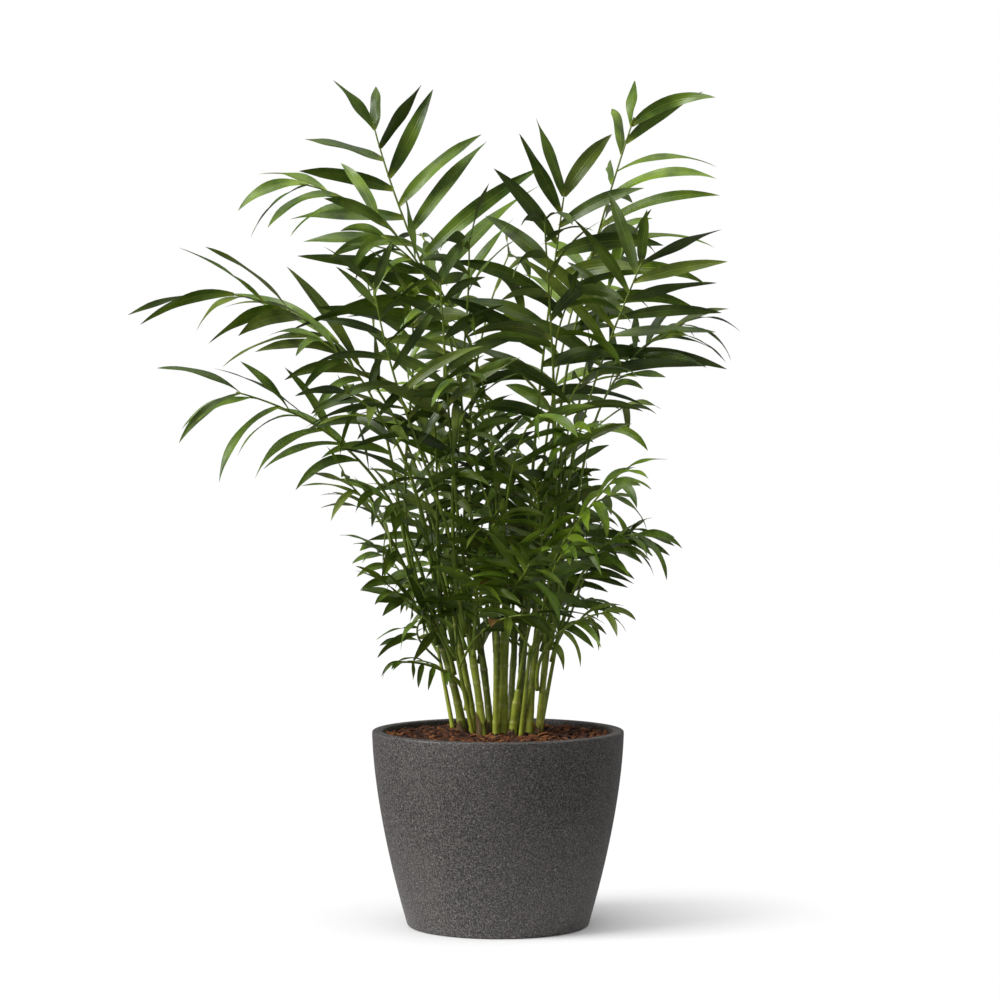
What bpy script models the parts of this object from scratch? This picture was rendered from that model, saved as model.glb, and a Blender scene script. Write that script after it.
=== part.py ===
"""Potted parlor palm: a clump of canes with feathered fronds in a tapered pot.

Metres, +Z up. The origin is the middle of the pot's flat underside, and the front of the
plant faces -Y. Each cane stands on the bark mulch. Each frond is one rib with its leaflets
fused on, and meets its cane with a small gap. Small shoots carry several fronds each.
"""

import math
import random
from itertools import product
from typing import NamedTuple

import bmesh
import bpy
import numpy as np
from mathutils import Quaternion, Vector, noise
from mathutils.bvhtree import BVHTree

UP = Vector((0, 0, 1))
DOWN = -UP
GAP = 0.0003

# Pot and what fills it.
POT_HEIGHT = 0.2325
POT_RIM_RADIUS = 0.150
POT_FOOT_RADIUS = 0.108
POT_BELLY = 1.62
POT_WALL = 0.013
POT_FLOOR = 0.015
POT_ROUNDING = 0.003
POT_SIDES = 44
POT_STEPS = 5
MULCH_BELOW_RIM = 0.008
MULCH_TOP = POT_HEIGHT - MULCH_BELOW_RIM
MULCH_RINGS = 5
MULCH_SIDES = POT_SIDES // 2
MULCH_RELIEF = 0.003
MULCH_LUMPS = 45
MULCH_CALM = (0.010, 0.024)

# Canes.
CANE_SIDES = 6
CANE_RINGS = 6
CANE_FLARE = 0.35
CANE_FLARE_SHARE = 0.12
CANE_TAPER = 0.28
CANE_SHEATH = 0.18
CANE_SHEATH_AT = 0.62
CANE_SHEATH_SPAN = 0.14
CANE_HANDLES = (0.35, 0.3)

# Ribs.
RIB_SIDES = 3
RIB_RINGS = 7
RIB_FOOT_SHARE = 0.72
RIB_TIP_RADIUS = 0.0010
RIB_TAPER = 0.8
RIB_HANDLE = 0.4
RIB_STEP = 0.002
RIB_CLEAR = 0.0008
SEAT_CLEAR = 0.9 * GAP
FOOT_TURNS = (0, 35, -35, 70, -70, 110, -110)
SWAY_REACH = (0.006, 0.012, 0.020, 0.030, 0.045)
SWAY_DIRECTIONS = 8
SWAY_NEAR_FOOT = 0.6
GRIP_DROPS = (0, 0.06, 0.12)

# Leaflets. A run lists the shares of length and of width at which a blade has a section.
SPLAY_TIP = 27
SPLAY_CURVE = 4
LEAF_CURVE = 1.4
LAST_ROOT = 0.985
STAGGER = 0.42
ROOT_CURVE = 0.92
FACE_BIAS = 0.05
SPLAY_VARIES = 6
LIFT_VARIES = 9
LENGTH_VARIES = (0.9, 1.08)
WIDTH_VARIES = (0.88, 1.1)
BEND_VARIES = (0.75, 1.3)
TIP_WIDTH = 0.92
LOWEST_LEAF_SHARE = 0.86
LEAF_THICKNESS = 0.0105
LEAST_THICKNESS = 0.0009
ROOT_WIDTH_SHARE = 0.34
ROOT_FIT = 0.85
STRAIGHT_RUN = ((0.42, 1.0),)
BENT_RUN = ((0.30, 1.0), (0.68, 0.76))
BENT_SAG = 0.009
RIDGE_SHARE = 0.7
LEAF_CLEAR = 0.00035
FLAT_ENOUGH = math.radians(3)
LEAF_TRIES = ((0, 1.0), (14, 1.0), (-14, 1.0), (28, 0.9), (-28, 0.9), (0, 0.62), (20, 0.62))


class Cane(NamedTuple):
    """One cane, from its foot on the mulch to its tip."""

    name: str
    foot: tuple
    tip: tuple
    radius: float


class Frond(NamedTuple):
    """One frond: where its rib starts and ends, and how its leaflets stand.

    grip is the share of the cane's height at which the rib starts, 1 being the cane's tip.
    arrive is how steeply the rib reaches its tip, in degrees above level, and lean is its
    angle from the cane at the start. bare is the share of the rib without leaflets, leaf the
    length of its longest leaflets and tip_leaf the share of it at the tip. face is where the
    upper side of the blade looks, folds are the angles by which its left and right sides hang
    back from that, and droop is how far a level leaflet bends.
    """

    name: str
    cane: str
    tip: tuple
    arrive: float
    grip: float = 1.0
    lean: float = 10
    bare: float = 0.5
    pairs: int = 5
    leaf: float = 0.12
    width: float = 0.014
    face: tuple = (0, 0, 1)
    droop: float = 40
    splay: float = 68
    tip_leaf: float = 0.7
    folds: tuple = (0, 0)


CANES = (
    Cane("cane_01", (-0.042, 0.030), (-0.082, 0.020, 0.386), 0.0050),
    Cane("cane_02", (-0.029, 0.048), (-0.056, 0.064, 0.372), 0.0046),
    Cane("cane_03", (-0.018, -0.004), (-0.036, -0.006, 0.358), 0.0048),
    Cane("cane_04", (-0.009, 0.012), (-0.022, 0.018, 0.345), 0.0044),
    Cane("cane_05", (-0.003, -0.005), (-0.002, -0.010, 0.392), 0.0032),
    Cane("cane_06", (0.006, 0.006), (0.009, 0.004, 0.400), 0.0056),
    Cane("cane_07", (0.017, -0.001), (0.024, -0.006, 0.282), 0.0048),
    Cane("cane_08", (0.026, 0.022), (0.033, 0.034, 0.385), 0.0050),
    Cane("cane_09", (0.037, 0.006), (0.050, 0.012, 0.386), 0.0044),
    Cane("cane_10", (0.049, 0.001), (0.062, -0.004, 0.370), 0.0042),
    Cane("cane_11", (0.003, 0.040), (-0.006, 0.066, 0.405), 0.0050),
    Cane("cane_12", (0.036, 0.048), (0.052, 0.078, 0.376), 0.0046),
    Cane("cane_13", (-0.020, 0.070), (-0.038, 0.112, 0.362), 0.0044),
    Cane("cane_14", (0.014, 0.068), (0.022, 0.108, 0.350), 0.0042),
)

FRONDS = (
    Frond("frond_top_left", "cane_06", (-0.152, 0.08, 0.963), 74, bare=0.55, pairs=6,
          leaf=0.178, width=0.015, face=(0, -1, 0.15), droop=26, splay=70, tip_leaf=0.4),
    Frond("frond_top_centre", "cane_08", (0.080, 0.03, 0.878), 82, bare=0.50, pairs=6,
          leaf=0.135, width=0.018, face=(0, -1, 0.1), droop=34, splay=64, tip_leaf=0.64),
    Frond("frond_top_right", "cane_09", (0.164, 0.06, 0.966), 70, bare=0.56, pairs=6,
          leaf=0.150, width=0.013, face=(-0.2, -1, 0.2), droop=50, splay=50, tip_leaf=0.62,
          folds=(80, 0)),
    Frond("frond_right", "cane_10", (0.172, -0.03, 0.793), 66, bare=0.68,
          leaf=0.130, width=0.018, face=(0, -1, 0.1), droop=34, splay=62, tip_leaf=0.66),
    Frond("frond_arching_left", "cane_04", (-0.234, -0.02, 0.881), 12, bare=0.55,
          leaf=0.112, width=0.013, face=(0, -0.4, 1), droop=44, splay=50, tip_leaf=0.75),
    Frond("frond_left_upper", "cane_02", (-0.320, -0.02, 0.751), 8, bare=0.54,
          leaf=0.150, width=0.016, face=(0.2, -0.6, 0.8), droop=40, splay=46, tip_leaf=0.78),
    Frond("frond_left_middle", "cane_01", (-0.305, -0.07, 0.634), 14, bare=0.47,
          leaf=0.122, width=0.015, face=(0.2, -0.6, 0.8), droop=44, splay=48, tip_leaf=0.75),
    Frond("frond_left_inner", "cane_03", (-0.143, -0.12, 0.759), 78, bare=0.54,
          leaf=0.120, width=0.014, face=(0, -1, 0.2), droop=40, splay=60, tip_leaf=0.6),
    Frond("frond_left_bowed", "cane_05", (-0.135, -0.08, 0.815), 30, bare=0.58, pairs=4,
          leaf=0.105, width=0.014, face=(0, -0.7, 0.7), droop=74, splay=56, folds=(0, 50)),
    Frond("frond_left_between", "cane_01", (-0.208, -0.05, 0.695), 30, 0.82, bare=0.54, pairs=4,
          leaf=0.105, width=0.013, face=(0, -0.6, 0.8), droop=60, splay=60),
    Frond("frond_left_low", "cane_01", (-0.176, -0.11, 0.533), 34, 0.66, bare=0.48, pairs=4,
          leaf=0.085, width=0.012, face=(0, -0.5, 0.8), droop=50, splay=60),
    Frond("frond_left_lower", "cane_01", (-0.122, -0.06, 0.401), 30, 0.42, bare=0.42, pairs=3,
          leaf=0.080, width=0.013, face=(0, -0.6, 0.8), droop=34, splay=58),
    Frond("frond_left_small", "cane_01", (-0.114, -0.04, 0.316), -6, 0.16, 26, bare=0.5,
          pairs=3, leaf=0.048, width=0.009, face=(0, -0.3, 1), droop=60, splay=60),
    Frond("frond_right_level", "cane_10", (0.222, 0.0, 0.717), 24, 0.85, bare=0.68,
          leaf=0.100, width=0.013, face=(0, -0.3, 1), droop=50, splay=52, tip_leaf=0.84),
    Frond("frond_right_low", "cane_07", (0.142, -0.10, 0.541), 40, bare=0.56, pairs=4,
          leaf=0.085, width=0.015, face=(0, -0.5, 1), droop=70, splay=58),
    Frond("frond_right_lower", "cane_10", (0.168, -0.04, 0.466), 6, 0.6, bare=0.56, pairs=4,
          leaf=0.092, width=0.012, face=(0, -0.4, 1), droop=44, splay=50),
    Frond("frond_right_small", "cane_10", (0.124, -0.05, 0.375), 10, 0.36, 18, bare=0.45,
          pairs=3, leaf=0.070, width=0.010, face=(0, -0.4, 1), droop=64, splay=54),
    Frond("frond_middle_upright", "cane_04", (-0.067, -0.10, 0.768), 80, 0.8, bare=0.55,
          pairs=4, leaf=0.105, width=0.018, face=(0, -1, 0.3), droop=56, splay=56),
)


class Tier(NamedTuple):
    """Fronds that fill the crown towards the front and the back at one height."""

    name: str
    count: int
    height: tuple
    reach: tuple
    arrive: tuple
    grip: tuple
    leaf: float
    width: float
    pairs: int
    bare: float


TIERS = (
    Tier("upper", 8, (0.72, 0.86), (0.10, 0.26), (30, 66), (0.9, 1.0), 0.112, 0.016, 3, 0.52),
    Tier("middle", 9, (0.46, 0.66), (0.14, 0.32), (10, 40), (0.6, 1.0), 0.100, 0.015, 3, 0.48),
)
TIER_SEED = 11
TIER_SPREAD = 58
TIER_FACE = 0.6
TIER_DROOP = (32, 74)
TIER_SPLAY = (52, 72)
GOLDEN_SHARE = 0.618
CROWN_MIDDLE = (0.005, 0.025)
SIDE_GRIP = 0.93
LADEN_COST = 0.02
LOW_CANE = 0.34


class Shoot(NamedTuple):
    """A young shoot between the canes: one slim stem with a few fronds fused to it."""

    name: str
    foot: tuple
    height: float
    azimuth: float


SHOOTS = (
    Shoot("shoot_1", (-0.030, 0.012), 0.10, 205),
    Shoot("shoot_2", (0.027, -0.008), 0.11, -62),
    Shoot("shoot_3", (0.018, 0.044), 0.13, 90),
    Shoot("shoot_4", (0.050, 0.026), 0.12, 30),
    Shoot("shoot_5", (-0.055, 0.088), 0.10, 150),
    Shoot("shoot_6", (0.036, 0.078), 0.10, 60),
)
SHOOT_RADIUS = 0.0024
SHOOT_TAPER = (1.25, 0.80)
SHOOT_SIDES = 5
SHOOT_LEAN = 0.22
SHOOT_TURN = 115
SHOOT_REACH = (0.063, 0.092, 0.121)
SHOOT_RISE = (0.20, 0.12, 0.05)
SHOOT_ARRIVE = (58, 26, 0)
SHOOT_GRIP = (0.98, 0.89, 0.80)
SHOOT_RIB_SHARE = 0.8
SHOOT_RIB_RINGS = 5
SHOOT_RIB_RISE = 1.3

# Base colour, roughness.
POT_FINISH = ((0.072, 0.068, 0.065), 0.82)
MULCH_FINISH = ((0.060, 0.028, 0.011), 0.95)
CANE_FINISH = ((0.110, 0.170, 0.030), 0.55)
FROND_FINISHES = (
    ((0.040, 0.095, 0.012), 0.45),
    ((0.055, 0.120, 0.016), 0.45),
    ((0.030, 0.075, 0.012), 0.48),
)


def mix(a, b, share):
    return a + (b - a) * share


def smooth_step(value, low, high):
    share = min(max((value - low) / (high - low), 0.0), 1.0)
    return share * share * (3 - 2 * share)


def material(name, finish):
    """A Principled material, made once for each name."""
    made = bpy.data.materials.get(name)
    if made:
        return made
    made = bpy.data.materials.new(name)
    made.use_nodes = True
    colour, roughness = finish
    made.diffuse_color = (*colour, 1)
    shader = made.node_tree.nodes["Principled BSDF"]
    shader.inputs["Base Color"].default_value = (*colour, 1)
    shader.inputs["Roughness"].default_value = roughness
    shader.inputs["Metallic"].default_value = 0
    return made


def new_object(name, verts, faces, finish, collection=None):
    """An object from closed mesh data, its faces turned outwards."""
    mesh = bpy.data.meshes.new(name)
    mesh.from_pydata([tuple(v) for v in verts], [], faces)
    shape = bmesh.new()
    shape.from_mesh(mesh)
    bmesh.ops.recalc_face_normals(shape, faces=shape.faces)
    shape.to_mesh(mesh)
    shape.free()
    obj = bpy.data.objects.new(name, mesh)
    (collection or bpy.context.scene.collection).objects.link(obj)
    if finish:
        mesh.materials.append(finish)
    return obj


def turned(outline, sides):
    """Mesh data of an outline of (radius, height) turned round the Z axis."""
    verts, faces, rings = [], [], []
    for radius, height in outline:
        if radius == 0:
            rings.append([len(verts)])
            verts.append((0, 0, height))
            continue
        rings.append(list(range(len(verts), len(verts) + sides)))
        for i in range(sides):
            angle = 2 * math.pi * i / sides
            verts.append((radius * math.cos(angle), radius * math.sin(angle), height))
    for low, high in zip(rings, rings[1:]):
        for i in range(sides):
            j = (i + 1) % sides
            corners = [low[i % len(low)], low[j % len(low)], high[j % len(high)], high[i % len(high)]]
            faces.append(list(dict.fromkeys(corners)))
    return verts, faces


def pot_radius(height):
    """Outer radius of the pot: it swells fast above the foot and slowly under the rim."""
    share = 1 - (1 - height / POT_HEIGHT) ** POT_BELLY
    return mix(POT_FOOT_RADIUS, POT_RIM_RADIUS, share)


def rounded(corner, start, end, steps=1):
    """Points of a soft corner between two points of an outline."""
    for i in range(steps + 1):
        t = i / steps
        yield tuple(
            (1 - t) ** 2 * a + 2 * t * (1 - t) * b + t * t * c
            for a, b, c in zip(start, corner, end)
        )


def wall_heights():
    return [POT_HEIGHT * i / POT_STEPS for i in range(1, POT_STEPS)]


def inner_wall():
    """Outline of the inside of the pot, from its floor to the rounding of its rim."""
    yield POT_FOOT_RADIUS - POT_WALL, POT_FLOOR
    for z in wall_heights():
        yield pot_radius(z) - POT_WALL, z
    yield POT_RIM_RADIUS - POT_WALL, POT_HEIGHT - POT_ROUNDING


def make_pot():
    r, h = POT_ROUNDING, POT_HEIGHT
    inner_rim = POT_RIM_RADIUS - POT_WALL
    outline = [(0, 0)]
    outline += rounded((POT_FOOT_RADIUS, 0), (POT_FOOT_RADIUS - r, 0), (pot_radius(r), r))
    outline += [(pot_radius(z), z) for z in wall_heights()]
    outline += rounded((POT_RIM_RADIUS, h), (pot_radius(h - r), h - r), (POT_RIM_RADIUS - r, h))
    outline += rounded((inner_rim, h), (inner_rim + r, h), (inner_rim, h - r))
    outline += [*reversed(list(inner_wall())[:-1]), (0, POT_FLOOR)]
    verts, faces = turned(outline, POT_SIDES)
    obj = new_object("pot", verts, faces, material("pot", POT_FINISH))
    obj.data.shade_smooth()
    obj.data.set_sharp_from_angle(angle=math.radians(40))


def make_mulch():
    """The root ball with its bark mulch: lumpy between the canes, level under each foot."""
    *wall, last, rim = inner_wall()
    share = (MULCH_TOP - last[1]) / (rim[1] - last[1])
    top_radius = mix(last[0], rim[0], share) - GAP
    outline = [(0, POT_FLOOR + GAP), (wall[0][0] - GAP, POT_FLOOR + GAP)]
    outline += [(radius - GAP, z) for radius, z in (*wall[1:], last)]
    outline += [(top_radius * i / MULCH_RINGS, MULCH_TOP) for i in range(MULCH_RINGS, -1, -1)]
    verts, faces = turned(outline, MULCH_SIDES)
    feet = [Vector(plant.foot) for plant in (*CANES, *SHOOTS)]
    lumpy = []
    for x, y, z in verts:
        if z == MULCH_TOP:
            nearest = min((Vector((x, y)) - foot).length for foot in feet)
            calm = smooth_step(nearest, *MULCH_CALM)
            z += calm * MULCH_RELIEF * noise.noise(Vector((x, y, 0)) * MULCH_LUMPS)
        lumpy.append((x, y, z))
    new_object("mulch", lumpy, faces, material("mulch", MULCH_FINISH))


def tube(points, radii, sides, first_tangent=None, across=None):
    """Mesh data of a closed faceted tube along the points, with a corner towards across."""
    tangents = []
    for i in range(len(points)):
        ahead = points[min(i + 1, len(points) - 1)] - points[max(i - 1, 0)]
        tangents.append(ahead.normalized())
    if first_tangent:
        tangents[0] = first_tangent.normalized()
    across = across or tangents[0].orthogonal()
    across = (across - tangents[0] * across.dot(tangents[0])).normalized()
    verts, faces = [], []
    for i, (point, radius, tangent) in enumerate(zip(points, radii, tangents)):
        if i:
            across = tangents[i - 1].rotation_difference(tangent) @ across
        for k in range(sides):
            turn = Quaternion(tangent, 2 * math.pi * k / sides)
            verts.append(point + (turn @ across) * radius)
    for ring, k in product(range(len(points) - 1), range(sides)):
        a, b = ring * sides + k, ring * sides + (k + 1) % sides
        faces.append([a, b, b + sides, a + sides])
    faces.append(list(range(sides)))
    faces.append(list(range(len(verts) - sides, len(verts))))
    return verts, faces


def bezier(p0, p1, p2, p3, t):
    s = 1 - t
    return s**3 * p0 + 3 * s * s * t * p1 + 3 * s * t * t * p2 + t**3 * p3


def slope(p0, p1, p2, p3, t):
    s = 1 - t
    along = s * s * (p1 - p0) + 2 * s * t * (p2 - p1) + t * t * (p3 - p2)
    return along.normalized()


class Limb:
    """A cane, a shoot's stem or a frond's rib: a tapering tube on one smooth curve."""

    def __init__(self, owner, guides, radius, rings, upright=False):
        self.owner = owner
        self.guides = guides
        self.radius = radius
        self.upright = upright
        shares = [i / (rings - 1) for i in range(rings)]
        self.points = [self.at(t) for t in shares]
        self.radii = [radius(t) for t in shares]

    def at(self, t):
        return bezier(*self.guides, t)

    def tangent(self, t):
        return slope(*self.guides, t)

    def inside(self, t):
        """A point on the middle line of the faceted tube, which cuts the curve's corners."""
        along = t * (len(self.points) - 1)
        ring = min(int(along), len(self.points) - 2)
        return self.points[ring].lerp(self.points[ring + 1], along - ring)

    def mesh(self, sides, across=None):
        first = UP if self.upright else self.tangent(0)
        return tube(self.points, self.radii, sides, first, across)


def cane_radius(radius):
    """A cane flares at its foot, swells a little at its leaf sheaths and tapers to its tip."""

    def at(t):
        flare = CANE_FLARE * math.exp(-t / CANE_FLARE_SHARE)
        sheath = CANE_SHEATH * math.exp(-(((t - CANE_SHEATH_AT) / CANE_SHEATH_SPAN) ** 2))
        return radius * (1 + flare + sheath - CANE_TAPER * t)

    return at


def cane_limb(cane):
    foot = Vector((*cane.foot, MULCH_TOP + GAP))
    tip = Vector(cane.tip)
    height = (tip - foot).length
    lean = (tip - foot).normalized()
    start = (UP + lean).normalized()
    near, far = CANE_HANDLES
    guides = (foot, foot + start * height * near, tip - lean * height * far, tip)
    return Limb(cane.name, guides, cane_radius(cane.radius), CANE_RINGS, upright=True)


def level(vector):
    flat = Vector((vector.x, vector.y, 0))
    return flat.normalized() if flat.length > 1e-6 else Vector((1, 0, 0))


def distances(points, starts, ends):
    """Distance from each point to each segment, and the share of the segment it falls on."""
    along = ends - starts
    offset = points[:, None, :] - starts[None, :, :]
    share = (offset * along).sum(-1) / (along * along).sum(-1)
    share = np.clip(share, 0, 1)
    nearest = starts[None] + along[None] * share[..., None]
    return np.linalg.norm(points[:, None, :] - nearest, axis=-1), share


def room(limb, others):
    """The narrowest gap between a limb and the others."""
    samples, reach = [], []
    for a, b, ra, rb in zip(limb.points, limb.points[1:], limb.radii, limb.radii[1:]):
        count = max(2, math.ceil((b - a).length / RIB_STEP))
        for i in range(count):
            samples.append(a.lerp(b, i / count))
            reach.append(mix(ra, rb, i / count))
    samples.append(limb.points[-1])
    reach.append(limb.radii[-1])
    narrowest = 1.0
    samples, reach = np.array(samples), np.array(reach)
    for other in others:
        starts = np.array(other.points[:-1])
        ends = np.array(other.points[1:])
        gap, share = distances(samples, starts, ends)
        start_radii = np.array(other.radii[:-1])
        end_radii = np.array(other.radii[1:])
        gap = gap - reach[:, None] - (start_radii + (end_radii - start_radii) * share)
        narrowest = min(narrowest, gap.min())
    return narrowest


def rib_radius(foot_radius):
    return lambda t: mix(foot_radius, RIB_TIP_RADIUS, t**RIB_TAPER)


def rib_limb(frond, cane, foot_turn, sway):
    """The rib of a frond, from its seat on the cane to its tip."""
    tip = Vector(frond.tip)
    seat = cane.at(frond.grip)
    along = cane.tangent(frond.grip)
    out = level(tip - seat)
    out = Quaternion(UP, math.radians(foot_turn)) @ out
    cane_size = cane.radius(frond.grip)
    size = cane_size * RIB_FOOT_SHARE
    if frond.grip >= 1:
        foot = seat + along * GAP
        start = along
    else:
        out = (out - along * out.dot(along)).normalized()
        foot = seat + out * (cane_size + size + GAP)
        axis = along.cross(out)
        start = Quaternion(axis, math.radians(frond.lean)) @ along
    reach = (tip - foot).length
    arrive = math.radians(frond.arrive)
    end = level(tip - foot) * math.cos(arrive) + UP * math.sin(arrive)
    near = foot + start * reach * RIB_HANDLE + sway * SWAY_NEAR_FOOT
    far = tip - end * reach * RIB_HANDLE + sway
    return Limb(frond.name, (foot, near, far, tip), rib_radius(size), RIB_RINGS)


def sways(direction):
    """Sideways shifts of a rib's guides, from none outwards in growing circles."""
    across = direction.orthogonal().normalized()
    yield Vector((0, 0, 0))
    for reach, step in product(SWAY_REACH, range(SWAY_DIRECTIONS)):
        turn = Quaternion(direction, 2 * math.pi * step / SWAY_DIRECTIONS)
        yield (turn @ across) * reach


def lead_rib(frond, canes, placed):
    """The first rib in the order of grips, turns and sways that clears every limb so far."""
    own = canes[frond.cane]
    others = [limb for limb in placed if limb is not own]
    chord = (Vector(frond.tip) - own.at(frond.grip)).normalized()
    at_side = frond.grip < 1
    drops, turns = (GRIP_DROPS, FOOT_TURNS) if at_side else ((0,), (0,))
    for drop, turn, sway in product(drops, turns, sways(chord)):
        rib = rib_limb(frond._replace(grip=frond.grip - drop), own, turn, sway)
        if room(rib, others) < RIB_CLEAR:
            continue
        if not at_side or room(rib, [own]) >= SEAT_CLEAR:
            return rib
    raise RuntimeError(f"{frond.name} has no clear way up")


class Leaflet(NamedTuple):
    """One leaflet: its root on the rib, its way out, its upper side and its sizes."""

    root: Vector
    out: Vector
    upper: Vector
    length: float
    width: float
    bend: float
    root_share: float

    def fall(self):
        """Down, seen along the leaflet: short where the leaflet hangs or stands upright."""
        return DOWN - self.out * self.out.dot(DOWN)

    def sag(self):
        return self.length * self.bend * self.fall().length / 8

    def section(self, share):
        """Place, sideways direction and upper side at a share of the leaflet's length."""
        fall = self.fall()
        angle = self.bend * fall.length
        if angle < 1e-4:
            across = self.upper.cross(self.out).normalized()
            return self.root + self.out * self.length * share, across, self.upper
        fall.normalize()
        turned_by = angle * share
        radius = self.length / angle
        place = self.root + self.out * radius * math.sin(turned_by)
        place += fall * radius * (1 - math.cos(turned_by))
        turn = Quaternion(self.out.cross(fall), turned_by)
        across = self.upper.cross(self.out).normalized()
        return place, turn @ across, turn @ self.upper


def blade_frame(frond, rib, share):
    """Along, right and upper directions of a frond's blade at a share of its rib."""
    along = rib.tangent(share)
    face = Vector(frond.face).normalized()
    right = along.cross(face) + FACE_BIAS * level(rib.tangent(1)).cross(UP)
    right.normalize()
    return along, right, right.cross(along)


def leaflets_of(frond, rib):
    """The leaflets of a frond, left and right in turn from the lowest to the two at the tip."""
    draw = random.Random(frond.name)
    first_hand = draw.choice((-1, 1))
    for i, hand in product(range(frond.pairs + 1), (first_hand, -first_hand)):
        at_tip = i == frond.pairs
        later = 0 if hand == first_hand or at_tip else STAGGER
        v = (i + later) / frond.pairs
        share = mix(frond.bare, LAST_ROOT, v**ROOT_CURVE)
        along, right, upper = blade_frame(frond, rib, share)
        angle = mix(frond.splay, SPLAY_TIP, v**SPLAY_CURVE)
        angle = math.radians(angle + draw.uniform(-SPLAY_VARIES, SPLAY_VARIES))
        lift = math.radians(draw.uniform(-LIFT_VARIES, LIFT_VARIES))
        size = mix(1.0, frond.tip_leaf, v**LEAF_CURVE) * (LOWEST_LEAF_SHARE if i == 0 else 1.0)
        length = frond.leaf * size * draw.uniform(*LENGTH_VARIES)
        width = frond.width * draw.uniform(*WIDTH_VARIES) * mix(1.0, TIP_WIDTH, v)
        bend = math.radians(frond.droop) * draw.uniform(*BEND_VARIES)
        fold = Quaternion(along, math.radians(frond.folds[hand > 0]) * hand)
        side, above = fold @ (right * hand), fold @ upper
        out = along * math.cos(angle) + side * math.sin(angle)
        out = (out * math.cos(lift) + above * math.sin(lift)).normalized()
        top = (above - out * above.dot(out)).normalized()
        fit = 2 * ROOT_FIT * rib.radius(share) / math.cos(angle)
        root_share = min(ROOT_WIDTH_SHARE, fit / width)
        yield Leaflet(rib.inside(share), out, top, length, width, bend, root_share)


def leaflet_mesh(leaflet, swell=0.0):
    """Mesh data of a leaflet: flat below, ridged above, and pointed at its end."""
    blade = max(leaflet.length * LEAF_THICKNESS, LEAST_THICKNESS)
    run = BENT_RUN if leaflet.sag() > BENT_SAG else STRAIGHT_RUN
    verts, faces = [], []
    for share, size in ((0.0, leaflet.root_share), *run):
        place, across, upper = leaflet.section(share)
        half = leaflet.width * size / 2 + swell
        low = place - upper * (blade * size * (1 - RIDGE_SHARE) + swell)
        top = place + upper * (blade * size * RIDGE_SHARE + swell)
        if swell:
            verts += [top - across * half, top + across * half]
            verts += [low + across * half, low - across * half]
        else:
            verts += [low - across * half, low + across * half, top]
    corners = 4 if swell else 3
    place, _, _ = leaflet.section(1.0)
    verts.append(place)
    last = len(verts) - 1
    for ring, k in product(range(len(run)), range(corners)):
        a, b = ring * corners + k, ring * corners + (k + 1) % corners
        faces += [[a, b, b + corners], [a, b + corners, a + corners]]
    faces.append(list(range(corners)))
    start = len(run) * corners
    faces += [[start + k, start + (k + 1) % corners, last] for k in range(corners)]
    return verts, faces


def bounds(verts):
    array = np.array([tuple(v) for v in verts])
    return array.min(0), array.max(0)


class Space:
    """What stands in the crown so far, for telling whether a new leaflet would touch it."""

    def __init__(self):
        self.shapes = []

    def add(self, owner, verts, faces):
        tree = BVHTree.FromPolygons([tuple(v) for v in verts], faces)
        self.shapes.append((owner, *bounds(verts), tree))

    def touches(self, owner, verts, faces):
        low, high = bounds(verts)
        tree = None
        for other, other_low, other_high, other_tree in self.shapes:
            if other == owner or (low > other_high).any() or (high < other_low).any():
                continue
            tree = tree or BVHTree.FromPolygons([tuple(v) for v in verts], faces)
            if tree.overlap(other_tree):
                return True
        return False


def seat_leaflet(owner, leaflet, space):
    """The leaflet as it grows, or lifted, lowered or shorter where that clears its neighbours."""
    side = leaflet.upper.cross(leaflet.out)
    for tilt, share in LEAF_TRIES:
        turn = Quaternion(side, -math.radians(tilt))
        moved = leaflet._replace(
            out=turn @ leaflet.out, upper=turn @ leaflet.upper, length=leaflet.length * share
        )
        if not space.touches(owner, *leaflet_mesh(moved, LEAF_CLEAR)):
            return moved
    return None


def fused(name, solids, finish):
    """One node from overlapping solids: a Boolean union of the first with all the others."""
    first, *rest = solids
    obj = new_object(name, *first, finish)
    operands = bpy.data.collections.new(name + "_leaflets")
    bpy.context.scene.collection.children.link(operands)
    for index, (verts, faces) in enumerate(rest):
        new_object(f"{name}_leaflet_{index}", verts, faces, None, operands)
    union = obj.modifiers.new("leaflets", "BOOLEAN")
    union.operation = "UNION"
    union.operand_type = "COLLECTION"
    union.collection = operands
    union.solver = "MANIFOLD"
    graph = bpy.context.evaluated_depsgraph_get()
    mesh = bpy.data.meshes.new_from_object(obj.evaluated_get(graph))
    obj.modifiers.clear()
    obj.data = mesh
    mesh.name = name
    shape = bmesh.new()
    shape.from_mesh(mesh)
    bmesh.ops.dissolve_limit(
        shape, angle_limit=FLAT_ENOUGH, verts=shape.verts, edges=shape.edges
    )
    bmesh.ops.triangulate(shape, faces=shape.faces)
    shape.to_mesh(mesh)
    shape.free()
    for operand in list(operands.objects):
        bpy.data.objects.remove(operand)
    bpy.data.collections.remove(operands)
    return obj


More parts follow.
